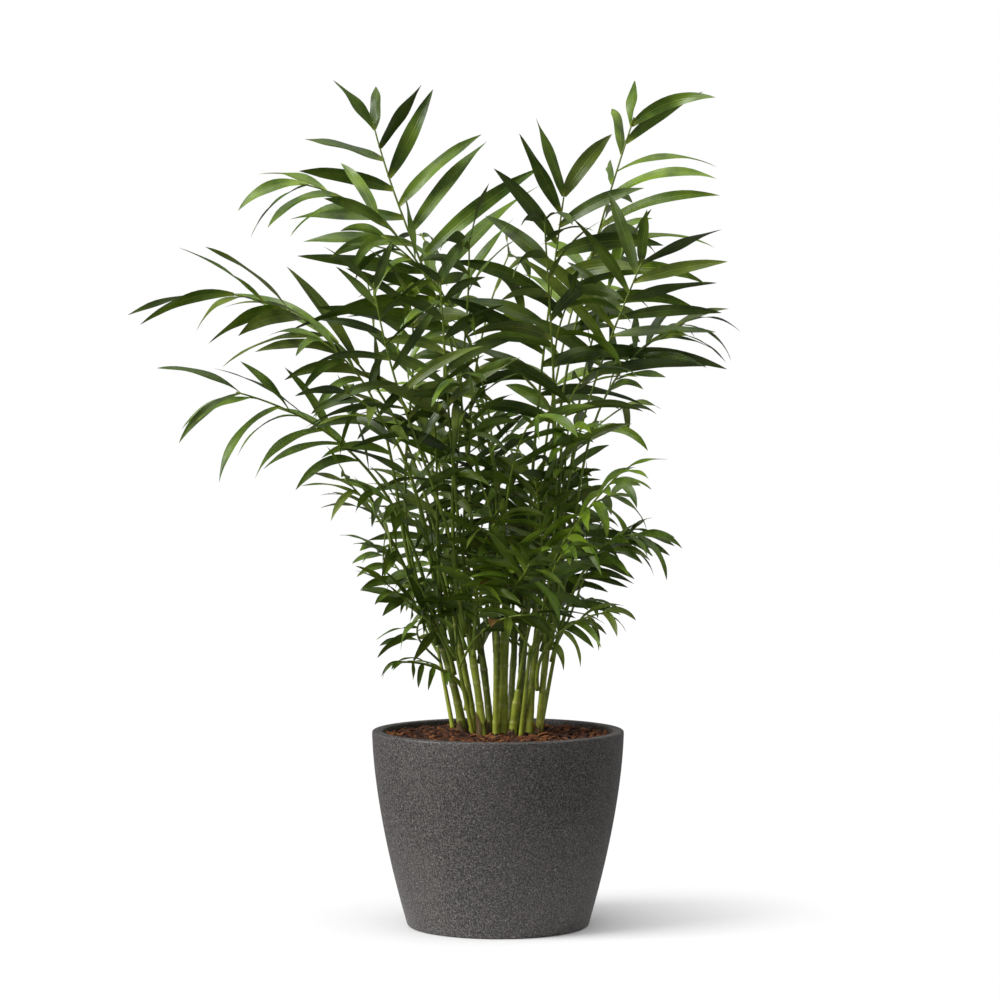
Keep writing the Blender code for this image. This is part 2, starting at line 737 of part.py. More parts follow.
def tier_fronds():
    """Fronds of the tiers, dealt in turn to the back and the front and over the canes."""
    draw = random.Random(TIER_SEED)
    carried = {cane.name: 0 for cane in CANES}
    for tier in TIERS:
        for i in range(tier.count):
            side = 90 if i % 2 == 0 else -90
            turn = (i * GOLDEN_SHARE % 1 * 2 - 1) * TIER_SPREAD
            azimuth = math.radians(side + turn)
            reach = mix(*tier.reach, draw.random())
            tip = (
                CROWN_MIDDLE[0] + reach * math.cos(azimuth),
                CROWN_MIDDLE[1] + reach * math.sin(azimuth),
                mix(*tier.height, draw.random()),
            )
            cane = min(CANES, key=lambda c: misfit(c, tip, carried))
            carried[cane.name] += 1
            arrive, grip = mix(*tier.arrive, draw.random()), mix(*tier.grip, draw.random())
            face = (draw.uniform(-TIER_FACE, TIER_FACE), draw.uniform(-TIER_FACE, TIER_FACE), 1)
            yield Frond(
                f"frond_{tier.name}_{i + 1}", cane.name, tip, arrive, min(grip, SIDE_GRIP),
                bare=tier.bare, pairs=tier.pairs, leaf=tier.leaf, width=tier.width, face=face,
                droop=mix(*TIER_DROOP, draw.random()), splay=mix(*TIER_SPLAY, draw.random()),
            )


def misfit(cane, tip, carried):
    """How badly a cane suits a tip: away from its direction, low, or well laden already."""
    away = -Vector((*cane.tip[:2], 0)).dot(level(Vector(tip)))
    return away + LADEN_COST * carried[cane.name] + max(0, LOW_CANE - cane.tip[2])


def shoot_parts(shoot):
    """The stem of a shoot and the fronds that spring from it."""
    azimuth = math.radians(shoot.azimuth)
    out = Vector((math.cos(azimuth), math.sin(azimuth), 0))
    foot = Vector((*shoot.foot, MULCH_TOP + GAP))
    tip = foot + (UP + out * SHOOT_LEAN) * shoot.height
    guides = (foot, foot.lerp(tip, 0.3), foot.lerp(tip, 0.7), tip)
    stem = Limb(shoot.name, guides, lambda t: SHOOT_RADIUS * mix(*SHOOT_TAPER, t), 4, upright=True)
    for i, grip in enumerate(SHOOT_GRIP):
        turn = Quaternion(UP, math.radians(SHOOT_TURN * (i - 1)))
        way = turn @ out
        end = tip + way * SHOOT_REACH[i] + UP * SHOOT_RISE[i]
        yield stem, Frond(
            f"{shoot.name}_{i + 1}", shoot.name, tuple(end), SHOOT_ARRIVE[i], grip,
            bare=0.45, pairs=2, leaf=0.070, width=0.013, droop=50,
        )


def shoot_rib(frond, stem, sway):
    """A rib that starts inside its stem, so that the two fuse."""
    foot = stem.at(frond.grip)
    tip = Vector(frond.tip)
    reach = (tip - foot).length
    arrive = math.radians(frond.arrive)
    out = level(tip - foot)
    start = (UP * SHOOT_RIB_RISE + out).normalized()
    end = out * math.cos(arrive) + UP * math.sin(arrive)
    near = foot + start * reach * RIB_HANDLE + sway * SWAY_NEAR_FOOT
    far = tip - end * reach * RIB_HANDLE + sway
    size = stem.radius(frond.grip) * SHOOT_RIB_SHARE
    return Limb(frond.name, (foot, near, far, tip), rib_radius(size), SHOOT_RIB_RINGS)


def lead_shoot_rib(frond, stem, others):
    """The first rib in the order of sways that clears every limb of the other nodes."""
    for sway in sways((Vector(frond.tip) - stem.at(1)).normalized()):
        rib = shoot_rib(frond, stem, sway)
        if room(rib, others) >= RIB_CLEAR:
            return rib
    raise RuntimeError(f"{frond.name} has no clear way up")


def main():
    for obj in list(bpy.data.objects):
        bpy.data.objects.remove(obj)
    make_pot()
    make_mulch()
    canes = {cane.name: cane_limb(cane) for cane in CANES}
    placed = list(canes.values())
    space = Space()
    for limb in placed:
        verts, faces = limb.mesh(CANE_SIDES)
        new_object(limb.owner, verts, faces, material("cane", CANE_FINISH))
        space.add(limb.owner, verts, faces)

    for name in ("pot", "mulch"):
        mesh = bpy.data.objects[name].data
        space.add(name, [v.co for v in mesh.vertices], [list(p.vertices) for p in mesh.polygons])

    nodes = {}
    shoots = {shoot.name: list(shoot_parts(shoot)) for shoot in SHOOTS}
    for parts in shoots.values():
        placed.append(parts[0][0])
    for frond in (*FRONDS, *tier_fronds()):
        rib = lead_rib(frond, canes, placed)
        placed.append(rib)
        nodes[frond.name] = [(frond, rib)]
    for name, parts in shoots.items():
        stem = parts[0][0]
        nodes[name] = []
        others = [limb for limb in placed if limb is not stem]
        for _, frond in parts:
            rib = lead_shoot_rib(frond, stem, others)
            placed.append(rib)
            nodes[name].append((frond, rib))

    solids = {name: [] for name in nodes}
    for name, parts in nodes.items():
        if name in shoots:
            solids[name].append(shoots[name][0][0].mesh(SHOOT_SIDES))
        for frond, rib in parts:
            _, _, upper = blade_frame(frond, rib, frond.bare)
            solids[name].append(rib.mesh(RIB_SIDES, upper))
        for verts, faces in solids[name]:
            space.add(name, verts, faces)

    for name, parts in nodes.items():
        for frond, rib in parts:
            for leaflet in leaflets_of(frond, rib):
                seated = seat_leaflet(name, leaflet, space)
                if seated:
                    verts, faces = leaflet_mesh(seated)
                    solids[name].append((verts, faces))
                    space.add(name, verts, faces)

    for index, (name, parts) in enumerate(solids.items()):
        tone = index % len(FROND_FINISHES)
        fused(name, parts, material(f"frond_{tone + 1}", FROND_FINISHES[tone]))


if __name__ == "__main__":
    main()
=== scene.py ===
"""Potted parlor palm, dressed: fine leaflets, ringed canes, bark chips and a speckled pot.

Metres, +Z up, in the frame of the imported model. The fronds grow by the same rule and the
same table as the solids, with more leaflets to a rib and small inner fronds between them.
"""

import math
import random
from itertools import product
from typing import NamedTuple

import bpy
import numpy as np
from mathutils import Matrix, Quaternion, Vector, noise


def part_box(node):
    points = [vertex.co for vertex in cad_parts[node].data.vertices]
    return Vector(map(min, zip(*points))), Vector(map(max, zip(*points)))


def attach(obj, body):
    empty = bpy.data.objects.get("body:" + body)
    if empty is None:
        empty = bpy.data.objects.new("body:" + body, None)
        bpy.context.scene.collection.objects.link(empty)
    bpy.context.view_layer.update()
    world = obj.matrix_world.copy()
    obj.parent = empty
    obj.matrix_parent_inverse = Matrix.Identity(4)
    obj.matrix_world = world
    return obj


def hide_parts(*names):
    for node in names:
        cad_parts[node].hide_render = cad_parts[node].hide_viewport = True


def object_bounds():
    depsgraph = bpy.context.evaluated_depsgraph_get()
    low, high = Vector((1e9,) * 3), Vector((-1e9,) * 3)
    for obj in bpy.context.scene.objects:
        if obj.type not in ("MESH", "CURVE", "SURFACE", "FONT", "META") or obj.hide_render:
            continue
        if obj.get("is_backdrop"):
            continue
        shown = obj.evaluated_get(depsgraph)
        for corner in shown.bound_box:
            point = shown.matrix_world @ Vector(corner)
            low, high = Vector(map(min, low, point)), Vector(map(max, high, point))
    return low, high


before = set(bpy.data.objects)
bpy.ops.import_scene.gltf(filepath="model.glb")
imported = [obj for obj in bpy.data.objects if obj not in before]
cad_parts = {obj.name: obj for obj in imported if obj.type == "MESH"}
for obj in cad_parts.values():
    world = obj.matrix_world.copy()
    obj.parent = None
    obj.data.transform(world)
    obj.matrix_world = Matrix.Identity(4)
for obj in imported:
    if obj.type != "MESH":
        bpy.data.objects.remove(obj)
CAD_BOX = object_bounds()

bl_info = {
    "name": "Potted parlor palm",
    "version": (1, 0, 0),
    "blender": (4, 5, 0),
    "location": "View3D > Sidebar > Palm",
    "description": "Dresses the solids of a potted parlor palm",
    "category": "Object",
}

UP = Vector((0, 0, 1))
GAP = 0.0003

# Pot and what fills it.
POT_HEIGHT = 0.2325
POT_RIM_RADIUS = 0.150
POT_FOOT_RADIUS = 0.108
POT_BELLY = 1.62
POT_WALL = 0.013
POT_FLOOR = 0.015
POT_ROUNDING = 0.003
POT_STEPS = 36
MULCH_BELOW_RIM = 0.008
MULCH_TOP = POT_HEIGHT - MULCH_BELOW_RIM

# Canes.
CANE_RINGS = 6
CANE_FLARE = 0.35
CANE_FLARE_SHARE = 0.12
CANE_TAPER = 0.28
CANE_SHEATH = 0.18
CANE_SHEATH_AT = 0.62
CANE_SHEATH_SPAN = 0.14
CANE_HANDLES = (0.35, 0.3)

# Ribs.
RIB_RINGS = 7
RIB_FOOT_SHARE = 0.72
RIB_TIP_RADIUS = 0.0010
RIB_TAPER = 0.8
RIB_HANDLE = 0.4
RIB_STEP = 0.002
RIB_CLEAR = 0.0008
SEAT_CLEAR = 0.9 * GAP
FOOT_TURNS = (0, 35, -35, 70, -70, 110, -110)
SWAY_REACH = (0.006, 0.012, 0.020, 0.030, 0.045)
SWAY_DIRECTIONS = 8
SWAY_NEAR_FOOT = 0.6
GRIP_DROPS = (0, 0.06, 0.12)

# Leaflets: where they spring from a rib and how they stand, as on the solids.
SPLAY_TIP = 27
SPLAY_CURVE = 4
LEAF_CURVE = 1.4
LAST_ROOT = 0.985
STAGGER = 0.42
ROOT_CURVE = 0.92
FACE_BIAS = 0.05
SPLAY_VARIES = 6
LIFT_VARIES = 9
WIDTH_VARIES = (0.88, 1.1)
TIP_WIDTH = 0.92
LOWEST_LEAF_SHARE = 0.86


class Cane(NamedTuple):
    """One cane, from its foot on the mulch to its tip."""

    name: str
    foot: tuple
    tip: tuple
    radius: float


class Frond(NamedTuple):
    """One frond: where its rib starts and ends, and how its leaflets stand.

    grip is the share of the cane's height at which the rib starts, 1 being the cane's tip.
    arrive is how steeply the rib reaches its tip, in degrees above level, and lean is its
    angle from the cane at the start. bare is the share of the rib without leaflets, leaf the
    length of its longest leaflets and tip_leaf the share of it at the tip. face is where the
    upper side of the blade looks, folds are the angles by which its left and right sides hang
    back from that, and droop is how far a level leaflet bends.
    """

    name: str
    cane: str
    tip: tuple
    arrive: float
    grip: float = 1.0
    lean: float = 10
    bare: float = 0.5
    pairs: int = 5
    leaf: float = 0.12
    width: float = 0.014
    face: tuple = (0, 0, 1)
    droop: float = 40
    splay: float = 68
    tip_leaf: float = 0.7
    folds: tuple = (0, 0)


CANES = (
    Cane("cane_01", (-0.042, 0.030), (-0.082, 0.020, 0.386), 0.0050),
    Cane("cane_02", (-0.029, 0.048), (-0.056, 0.064, 0.372), 0.0046),
    Cane("cane_03", (-0.018, -0.004), (-0.036, -0.006, 0.358), 0.0048),
    Cane("cane_04", (-0.009, 0.012), (-0.022, 0.018, 0.345), 0.0044),
    Cane("cane_05", (-0.003, -0.005), (-0.002, -0.010, 0.392), 0.0032),
    Cane("cane_06", (0.006, 0.006), (0.009, 0.004, 0.400), 0.0056),
    Cane("cane_07", (0.017, -0.001), (0.024, -0.006, 0.282), 0.0048),
    Cane("cane_08", (0.026, 0.022), (0.033, 0.034, 0.385), 0.0050),
    Cane("cane_09", (0.037, 0.006), (0.050, 0.012, 0.386), 0.0044),
    Cane("cane_10", (0.049, 0.001), (0.062, -0.004, 0.370), 0.0042),
    Cane("cane_11", (0.003, 0.040), (-0.006, 0.066, 0.405), 0.0050),
    Cane("cane_12", (0.036, 0.048), (0.052, 0.078, 0.376), 0.0046),
    Cane("cane_13", (-0.020, 0.070), (-0.038, 0.112, 0.362), 0.0044),
    Cane("cane_14", (0.014, 0.068), (0.022, 0.108, 0.350), 0.0042),
)

FRONDS = (
    Frond("frond_top_left", "cane_06", (-0.152, 0.08, 0.963), 74, bare=0.55, pairs=6,
          leaf=0.178, width=0.015, face=(0, -1, 0.15), droop=26, splay=70, tip_leaf=0.4),
    Frond("frond_top_centre", "cane_08", (0.080, 0.03, 0.878), 82, bare=0.50, pairs=6,
          leaf=0.135, width=0.018, face=(0, -1, 0.1), droop=34, splay=64, tip_leaf=0.64),
    Frond("frond_top_right", "cane_09", (0.164, 0.06, 0.966), 70, bare=0.56, pairs=6,
          leaf=0.150, width=0.013, face=(-0.2, -1, 0.2), droop=50, splay=50, tip_leaf=0.62,
          folds=(80, 0)),
    Frond("frond_right", "cane_10", (0.172, -0.03, 0.793), 66, bare=0.68,
          leaf=0.130, width=0.018, face=(0, -1, 0.1), droop=34, splay=62, tip_leaf=0.66),
    Frond("frond_arching_left", "cane_04", (-0.234, -0.02, 0.881), 12, bare=0.55,
          leaf=0.112, width=0.013, face=(0, -0.4, 1), droop=44, splay=50, tip_leaf=0.75),
    Frond("frond_left_upper", "cane_02", (-0.320, -0.02, 0.751), 8, bare=0.54,
          leaf=0.150, width=0.016, face=(0.2, -0.6, 0.8), droop=40, splay=46, tip_leaf=0.78),
    Frond("frond_left_middle", "cane_01", (-0.305, -0.07, 0.634), 14, bare=0.47,
          leaf=0.122, width=0.015, face=(0.2, -0.6, 0.8), droop=44, splay=48, tip_leaf=0.75),
    Frond("frond_left_inner", "cane_03", (-0.143, -0.12, 0.759), 78, bare=0.54,
          leaf=0.120, width=0.014, face=(0, -1, 0.2), droop=40, splay=60, tip_leaf=0.6),
    Frond("frond_left_bowed", "cane_05", (-0.135, -0.08, 0.815), 30, bare=0.58, pairs=4,
          leaf=0.105, width=0.014, face=(0, -0.7, 0.7), droop=74, splay=56, folds=(0, 50)),
    Frond("frond_left_between", "cane_01", (-0.208, -0.05, 0.695), 30, 0.82, bare=0.54, pairs=4,
          leaf=0.105, width=0.013, face=(0, -0.6, 0.8), droop=60, splay=60),
    Frond("frond_left_low", "cane_01", (-0.176, -0.11, 0.533), 34, 0.66, bare=0.48, pairs=4,
          leaf=0.085, width=0.012, face=(0, -0.5, 0.8), droop=50, splay=60),
    Frond("frond_left_lower", "cane_01", (-0.122, -0.06, 0.401), 30, 0.42, bare=0.42, pairs=3,
          leaf=0.080, width=0.013, face=(0, -0.6, 0.8), droop=34, splay=58),
    Frond("frond_left_small", "cane_01", (-0.114, -0.04, 0.316), -6, 0.16, 26, bare=0.5,
          pairs=3, leaf=0.048, width=0.009, face=(0, -0.3, 1), droop=60, splay=60),
    Frond("frond_right_level", "cane_10", (0.222, 0.0, 0.717), 24, 0.85, bare=0.68,
          leaf=0.100, width=0.013, face=(0, -0.3, 1), droop=50, splay=52, tip_leaf=0.84),
    Frond("frond_right_low", "cane_07", (0.142, -0.10, 0.541), 40, bare=0.56, pairs=4,
          leaf=0.085, width=0.015, face=(0, -0.5, 1), droop=70, splay=58),
    Frond("frond_right_lower", "cane_10", (0.168, -0.04, 0.466), 6, 0.6, bare=0.56, pairs=4,
          leaf=0.092, width=0.012, face=(0, -0.4, 1), droop=44, splay=50),
    Frond("frond_right_small", "cane_10", (0.124, -0.05, 0.375), 10, 0.36, 18, bare=0.45,
          pairs=3, leaf=0.070, width=0.010, face=(0, -0.4, 1), droop=64, splay=54),
    Frond("frond_middle_upright", "cane_04", (-0.067, -0.10, 0.768), 80, 0.8, bare=0.55,
          pairs=4, leaf=0.105, width=0.018, face=(0, -1, 0.3), droop=56, splay=56),
)


class Tier(NamedTuple):
    """Fronds that fill the crown towards the front and the back at one height."""

    name: str
    count: int
    height: tuple
    reach: tuple
    arrive: tuple
    grip: tuple
    leaf: float
    width: float
    pairs: int
    bare: float


TIERS = (
    Tier("upper", 8, (0.72, 0.86), (0.10, 0.26), (30, 66), (0.9, 1.0), 0.112, 0.016, 3, 0.52),
    Tier("middle", 9, (0.46, 0.66), (0.14, 0.32), (10, 40), (0.6, 1.0), 0.100, 0.015, 3, 0.48),
    Tier("inner", 18, (0.40, 0.66), (0.05, 0.19), (15, 70), (0.5, 0.95), 0.082, 0.012, 4, 0.42),
)
TIER_SEED = 11
TIER_SPREAD = 58
TIER_FACE = 0.6
TIER_DROOP = (32, 74)
TIER_SPLAY = (52, 72)
GOLDEN_SHARE = 0.618
CROWN_MIDDLE = (0.005, 0.025)
SIDE_GRIP = 0.93
LADEN_COST = 0.02
LOW_CANE = 0.34


class Shoot(NamedTuple):
    """A young shoot between the canes: one slim stem with a few fronds fused to it."""

    name: str
    foot: tuple
    height: float
    azimuth: float


SHOOTS = (
    Shoot("shoot_1", (-0.030, 0.012), 0.10, 205),
    Shoot("shoot_2", (0.027, -0.008), 0.11, -62),
    Shoot("shoot_3", (0.018, 0.044), 0.13, 90),
    Shoot("shoot_4", (0.050, 0.026), 0.12, 30),
    Shoot("shoot_5", (-0.055, 0.088), 0.10, 150),
    Shoot("shoot_6", (0.036, 0.078), 0.10, 60),
)
SHOOT_RADIUS = 0.0024
SHOOT_RINGS = 4
SHOOT_TAPER = (1.25, 0.80)
SHOOT_HANDLES = (0.3, 0.7)
SHOOT_LEAN = 0.22
SHOOT_TURN = 115
SHOOT_REACH = (0.063, 0.092, 0.121)
SHOOT_RISE = (0.20, 0.12, 0.05)
SHOOT_ARRIVE = (58, 26, 0)
SHOOT_GRIP = (0.98, 0.89, 0.80)
SHOOT_FROND = {"bare": 0.45, "pairs": 2, "leaf": 0.070, "width": 0.013, "droop": 50}
SHOOT_RIB_SHARE = 0.8
SHOOT_RIB_RINGS = 5
SHOOT_RIB_RISE = 1.3

# Fine surface of the pot, the canes and the ribs.
FINE_POT_SIDES = 144
FINE_RIM_STEPS = 6
FINE_CANE_SIDES = 12
FINE_CANE_RINGS = 110
FINE_RIB_SIDES = 7
FINE_RIB_RINGS = 30
CANE_RING_SPACING = (0.016, 0.034)
CANE_RING_VARIES = (0.8, 1.2)
CANE_RING_SWELL = 0.10
CANE_RING_SPAN = 0.0016
CANE_END_SHARE = 0.06
CANE_USUAL_HEIGHT = 0.17
# Canes that take the darker copy of the cane finish: painted shade, with a slightly browner green.
SHADED_CANES = (0, 3, 7, 10, 13)

# Dry sheaths: each one's cane, the share of it that is covered and how far the sheath stands off.
HUSKS = (("cane_03", 0.15, 0.0014), ("cane_04", 0.09, 0.0009), ("cane_07", 0.13, 0.0007),
         ("cane_10", 0.08, 0.0009), ("cane_01", 0.07, 0.0009), ("cane_12", 0.2, 0.0010))
HUSK_SIDES = 16
HUSK_RINGS = 12
HUSK_WRAP = 0.93
HUSK_FLARE = 0.35
HUSK_FLARE_CURVE = 4
HUSK_TEAR = 0.020
HUSK_TEAR_STEP = 0.9
HUSK_TEAR_PLACE = 0.3
HUSK_CREASE = 0.0004
HUSK_CREASE_STEPS = (1.7, 5)

# Drawn leaflets: sections along and across each blade, and how unlike each other they are.
LEAF_STEPS = 15
LEAF_ACROSS = 5
LEAF_OUTLINE = ((0, 0.30), (0.08, 0.52), (0.25, 0.88), (0.45, 1.0), (0.68, 0.84), (0.88, 0.40),
                (1, 0.02))
LEAF_CUP = 0.22
FEWEST_PAIRS = 3
RIPPLE_WAVES = 9.0
RIPPLE_HEIGHT = 0.20
RIPPLE_STARTS = (0, 6.28)
LENGTH_VARIES = (0.84, 1.10)
BEND_VARIES = (0.6, 1.6)
CURL_SIDES = (-0.3, 1.0)
CURL_VARIES = 0.10
TWIST_VARIES = 60
ROLL_VARIES = 40
LIFT_SPREAD = 2.3
SPLAY_SPREAD = 1.6
LEAST_ANGLE = 0.02
LEAST_FALL = 1e-4
CARRIED = ("root", "out", "fall", "hinge", "across", "upper", "size", "turns", "tone", "tint")

# How far a drawn leaflet may pass its own solid, and how it is shortened to that.
REACH_PAST = 0.016
SHORTER = 0.94
SHORTEST = 0.45

# Tones that a leaflet may have, the floor that each finish covers upwards, and their shares.
MAIN, SECOND, DRY = 0.0, 1.0, 2.0
LEAF_FLOORS = {"Main Finish": -1.0, "Second Finish": 0.5, "Dry Finish": 1.5}
SECOND_SHARE = 0.26
DRY_SHARE = 0.035
DRY_BELOW = 0.42
DRY_LENGTH = 0.6

# Mulch.
BED_RINGS = 26
BED_SIDES = 72
BED_CLEAR = 0.0014
BED_SINK = 0.001
BED_RELIEF = 0.0022
BED_MOUND = 0.0022
BED_LUMPS = 70
CHIP_DENSITY = 20000
CHIP_SEED = 5
CHIP_SIZE = (0.0072, 0.0030, 0.0015)
CHIP_SIZES = ((0.45, 0.5, 0.6), (1.7, 1.5, 1.6))
CHIP_TURNS = ((-0.5, -0.5, -3.14), (0.5, 0.5, 3.14))
CHIP_ROUGHNESS = 0.0016
CHIP_GRAIN = 330

# Viewpoint.
CAMERA_PLACE = (0.0024, -3.6, 0.6)
CAMERA_TILT = 1.49
CAMERA_LENS = 109

# Stage: each light's place, spread in degrees and strength against the key light.
LIGHTS = {"key": ((-3.0, -1.25, 2.1), 36, 1.0), "top": ((0.3, -0.2, 3.0), 60, 0.45)}
WORLD_FILL = 0.28
FLOOR_SIZE = 14
FLOOR_FADE = (0.12, 0.44)
FLOOR_BOUNCE = 0.3
FLOOR_COLOUR = (0.93, 0.93, 0.93)
FLOOR_ROUGHNESS = 0.8
FLOOR_SHINE = 0.1

# Finishes: how fine each pattern is, to the metre, and how deep its relief is, in metres.
NOISE_MIDDLE = (0.36, 0.64)
NOISE_WIDE = (0.3, 0.7)
LEAF_VEINS = 5
LEAF_VEIN_HEIGHT = 0.12
LEAF_STREAKS = 0.10
LEAF_GROOVE = 0.05
LEAF_GROOVE_PALE = 0.35
LEAF_ROOT = 0.11
LEAF_ROOT_PALE = 0.85
LEAF_MOTTLE = 26
LEAF_MOTTLE_SHARE = 0.85
LEAF_GLOSS = 90
LEAF_ROUGHNESS = (0.33, 0.48)
LEAF_SHINE = 0.38
LEAF_RELIEF = 0.00016
STEM_FIBRES = 900
STEM_STRETCH = 0.06
STEM_PATCHES = 60
STEM_FOOT_SHARE = 0.85
STEM_FOOT_PATCHES = (0.3, 0.6, 0.5, 1.0)
STEM_ROUGHNESS = (0.38, 0.55)
STEM_RELIEF = 0.0003
RING_COLOUR = (0.42, 0.40, 0.17)
RING_SHARE = 0.65
HUSK_FIBRES = 700
HUSK_STRETCH = 0.05
HUSK_CONTRAST = (0.35, 0.65)
HUSK_TONES = ((0.034, 0.016, 0.005), (0.170, 0.105, 0.034))
HUSK_ROUGHNESS = 0.8
HUSK_RELIEF = 0.0006
# Shares of the pot colour for its dark, light and pale grains, and for the painted shade in its
# pits.
POT_SHADES = (0.08, 2.7, 8.0, 0.3)
POT_GRAIN = 540
POT_GRAIN_ROUGHNESS = 0.8
POT_GRAIN_EDGE = (0.44, 0.57)
POT_SPECKS = 600
POT_SPECK_EDGE = (0.64, 0.69)
POT_SPECK_SHARE = 0.6
# Pits: sunk by the relief and darkened in colour as painted shade.
POT_PITS = 450
POT_PIT_EDGE = (0.36, 0.41)
POT_PIT_SHADE_SHARE = 0.65
POT_CLOUD = 9
POT_CLOUD_EDGE = (0.35, 0.65)
POT_CLOUD_SHARE = 0.22
POT_ROUGHNESS = (0.44, 0.66)
POT_RELIEF = 0.00035
BARK_FURROWS = 480
BARK_FURROW_ROUGHNESS = 0.65
BARK_FURROW_SHARE = 0.6
BARK_BLOTCH = 110
BARK_CONTRAST = (0.36, 0.62)
BARK_ROUGHNESS = 0.88
BARK_RELIEF = 0.0012

# Barks: dark and light brown, and the tint from which a chip has that bark.
BARK_TONES = {
    "bark dark": ((0.010, 0.0030, 0.0008), (0.060, 0.018, 0.004)),
    "bark red": ((0.030, 0.0070, 0.0014), (0.180, 0.048, 0.008)),
    "bark pale": ((0.070, 0.022, 0.005), (0.34, 0.125, 0.028)),
}
BARK_FLOORS = {"bark dark": -1.0, "bark red": 0.45, "bark pale": 0.82}

# Stems: dark and light green, height of the yellow foot and its share of the foot's colour.
STEM_TONES = {
    "cane green": ((0.085, 0.140, 0.008), (0.240, 0.320, 0.022), 0.14, 1.0),
    # The second cane finish is a darker, slightly browner copy of cane green, its yellow foot
    # dimmed to 0.55: painted shade.
    "cane deep": ((0.060, 0.085, 0.008), (0.165, 0.225, 0.018), 0.09, 0.55),
    "rib green": ((0.080, 0.140, 0.010), (0.230, 0.310, 0.026), 0.10, 1.0),
}

# Leaves: dark green, light green and the pale tone at the root and along the middle.
LEAF_TONES = {
    "leaf fresh": ((0.056, 0.112, 0.0045), (0.185, 0.290, 0.016), (0.34, 0.40, 0.04)),
    "leaf green": ((0.036, 0.078, 0.0035), (0.128, 0.212, 0.012), (0.27, 0.33, 0.03)),
    "leaf deep": ((0.020, 0.042, 0.0030), (0.076, 0.125, 0.009), (0.19, 0.25, 0.025)),
    "leaf olive": ((0.050, 0.080, 0.0045), (0.145, 0.200, 0.018), (0.29, 0.32, 0.04)),
}
DRY_TONE = ((0.090, 0.048, 0.014), (0.22, 0.130, 0.038), (0.20, 0.14, 0.045))

# How the drawn fronds differ from their solids: leaflet pairs, leaflet length, splay, width.
FROND_DRESS = {
    "frond_top_left": (1.15, 1.08, 0.86, 1.3),
    "frond_top_centre": (1.1, 1.15, 0.92, 1.1),
    "frond_top_right": (1.2, 1.32, 0.95, 1.25),
    "frond_right": (1.2, 1.12, 0.95, 0.85),
    "frond_right_level": (1.4, 1.1, 0.9, 0.85),
    "frond_arching_left": (1.4, 1.18, 0.85, 1.2),
    "frond_left_upper": (1.2, 1.15, 0.74, 1.05),
    "frond_left_middle": (1.2, 1.15, 0.74, 0.9),
    "frond_left_between": (1.2, 1.1, 0.85, 0.85),
}
PLAIN_DRESS = (1.25, 1.0, 0.92, 0.82)
UPPER_DRESS = (1.45, 1.05, 0.95, 0.95)
FULL_DRESS = (1.8, 1.0, 0.92, 0.86)
FULL_FRONDS = ("shoot", "frond_inner", "frond_right_low", "frond_left_low")

# Which green a frond has: its own, or else the next in turn.
FROND_TONES = {
    "frond_top_left": "leaf green",
    "frond_top_centre": "leaf deep",
    "frond_top_right": "leaf fresh",
    "frond_right": "leaf deep",
    "frond_arching_left": "leaf fresh",
    "frond_left_upper": "leaf olive",
    "frond_left_middle": "leaf green",
}
TONE_ORDER = ("leaf green", "leaf deep", "leaf fresh", "leaf green", "leaf olive", "leaf deep")


def mix(a, b, share):
    """The value at a share of the way from a to b."""
    return a + (b - a) * share


def turned(outline, sides):
    """Mesh data of an outline of (radius, height) turned round the Z axis."""
    verts, faces, rings = [], [], []
    for radius, height in outline:
        if radius == 0:
            rings.append([len(verts)])
            verts.append((0, 0, height))
            continue
        rings.append(list(range(len(verts), len(verts) + sides)))
        for i in range(sides):
            angle = 2 * math.pi * i / sides
            verts.append((radius * math.cos(angle), radius * math.sin(angle), height))
    for low, high in zip(rings, rings[1:]):
        for i in range(sides):
            j = (i + 1) % sides
            corners = [low[k % len(low)] for k in (i, j)] + [high[k % len(high)] for k in (j, i)]
            faces.append(list(dict.fromkeys(corners)))
    return verts, faces


def pot_radius(height):
    """Outer radius of the pot: it swells fast above the foot and slowly under the rim."""
    share = 1 - (1 - height / POT_HEIGHT) ** POT_BELLY
    return mix(POT_FOOT_RADIUS, POT_RIM_RADIUS, share)


def rounded(corner, start, end):
    """Points of a soft corner between two points of an outline."""
    for i in range(FINE_RIM_STEPS + 1):
        t = i / FINE_RIM_STEPS
        yield tuple(
            (1 - t) ** 2 * a + 2 * t * (1 - t) * b + t * t * c
            for a, b, c in zip(start, corner, end)
        )


def wall_heights():
    """Heights of the pot's rings between its foot and its rim."""
    return [POT_HEIGHT * i / POT_STEPS for i in range(1, POT_STEPS)]


def inner_wall():
    """Outline of the inside of the pot, from its floor to just under its rim."""
    yield POT_FOOT_RADIUS - POT_WALL, POT_FLOOR
    for z in wall_heights():
        yield pot_radius(z) - POT_WALL, z


def bezier(p0, p1, p2, p3, t):
    """A point on a smooth curve from p0 to p3 that p1 and p2 guide."""
    s = 1 - t
    return s**3 * p0 + 3 * s * s * t * p1 + 3 * s * t * t * p2 + t**3 * p3


def slope(p0, p1, p2, p3, t):
    """The direction of that curve."""
    s = 1 - t
    along = s * s * (p1 - p0) + 2 * s * t * (p2 - p1) + t * t * (p3 - p2)
    return along.normalized()


class Limb:
    """A cane, a shoot's stem or a frond's rib: a tapering tube on one smooth curve."""

    def __init__(self, guides, radius, rings, upright=False):
        self.guides = guides
        self.radius = radius
        self.upright = upright
        shares = [i / (rings - 1) for i in range(rings)]
        self.points = [self.at(t) for t in shares]
        self.radii = [radius(t) for t in shares]

    def at(self, t):
        return bezier(*self.guides, t)

    def tangent(self, t):
        return slope(*self.guides, t)


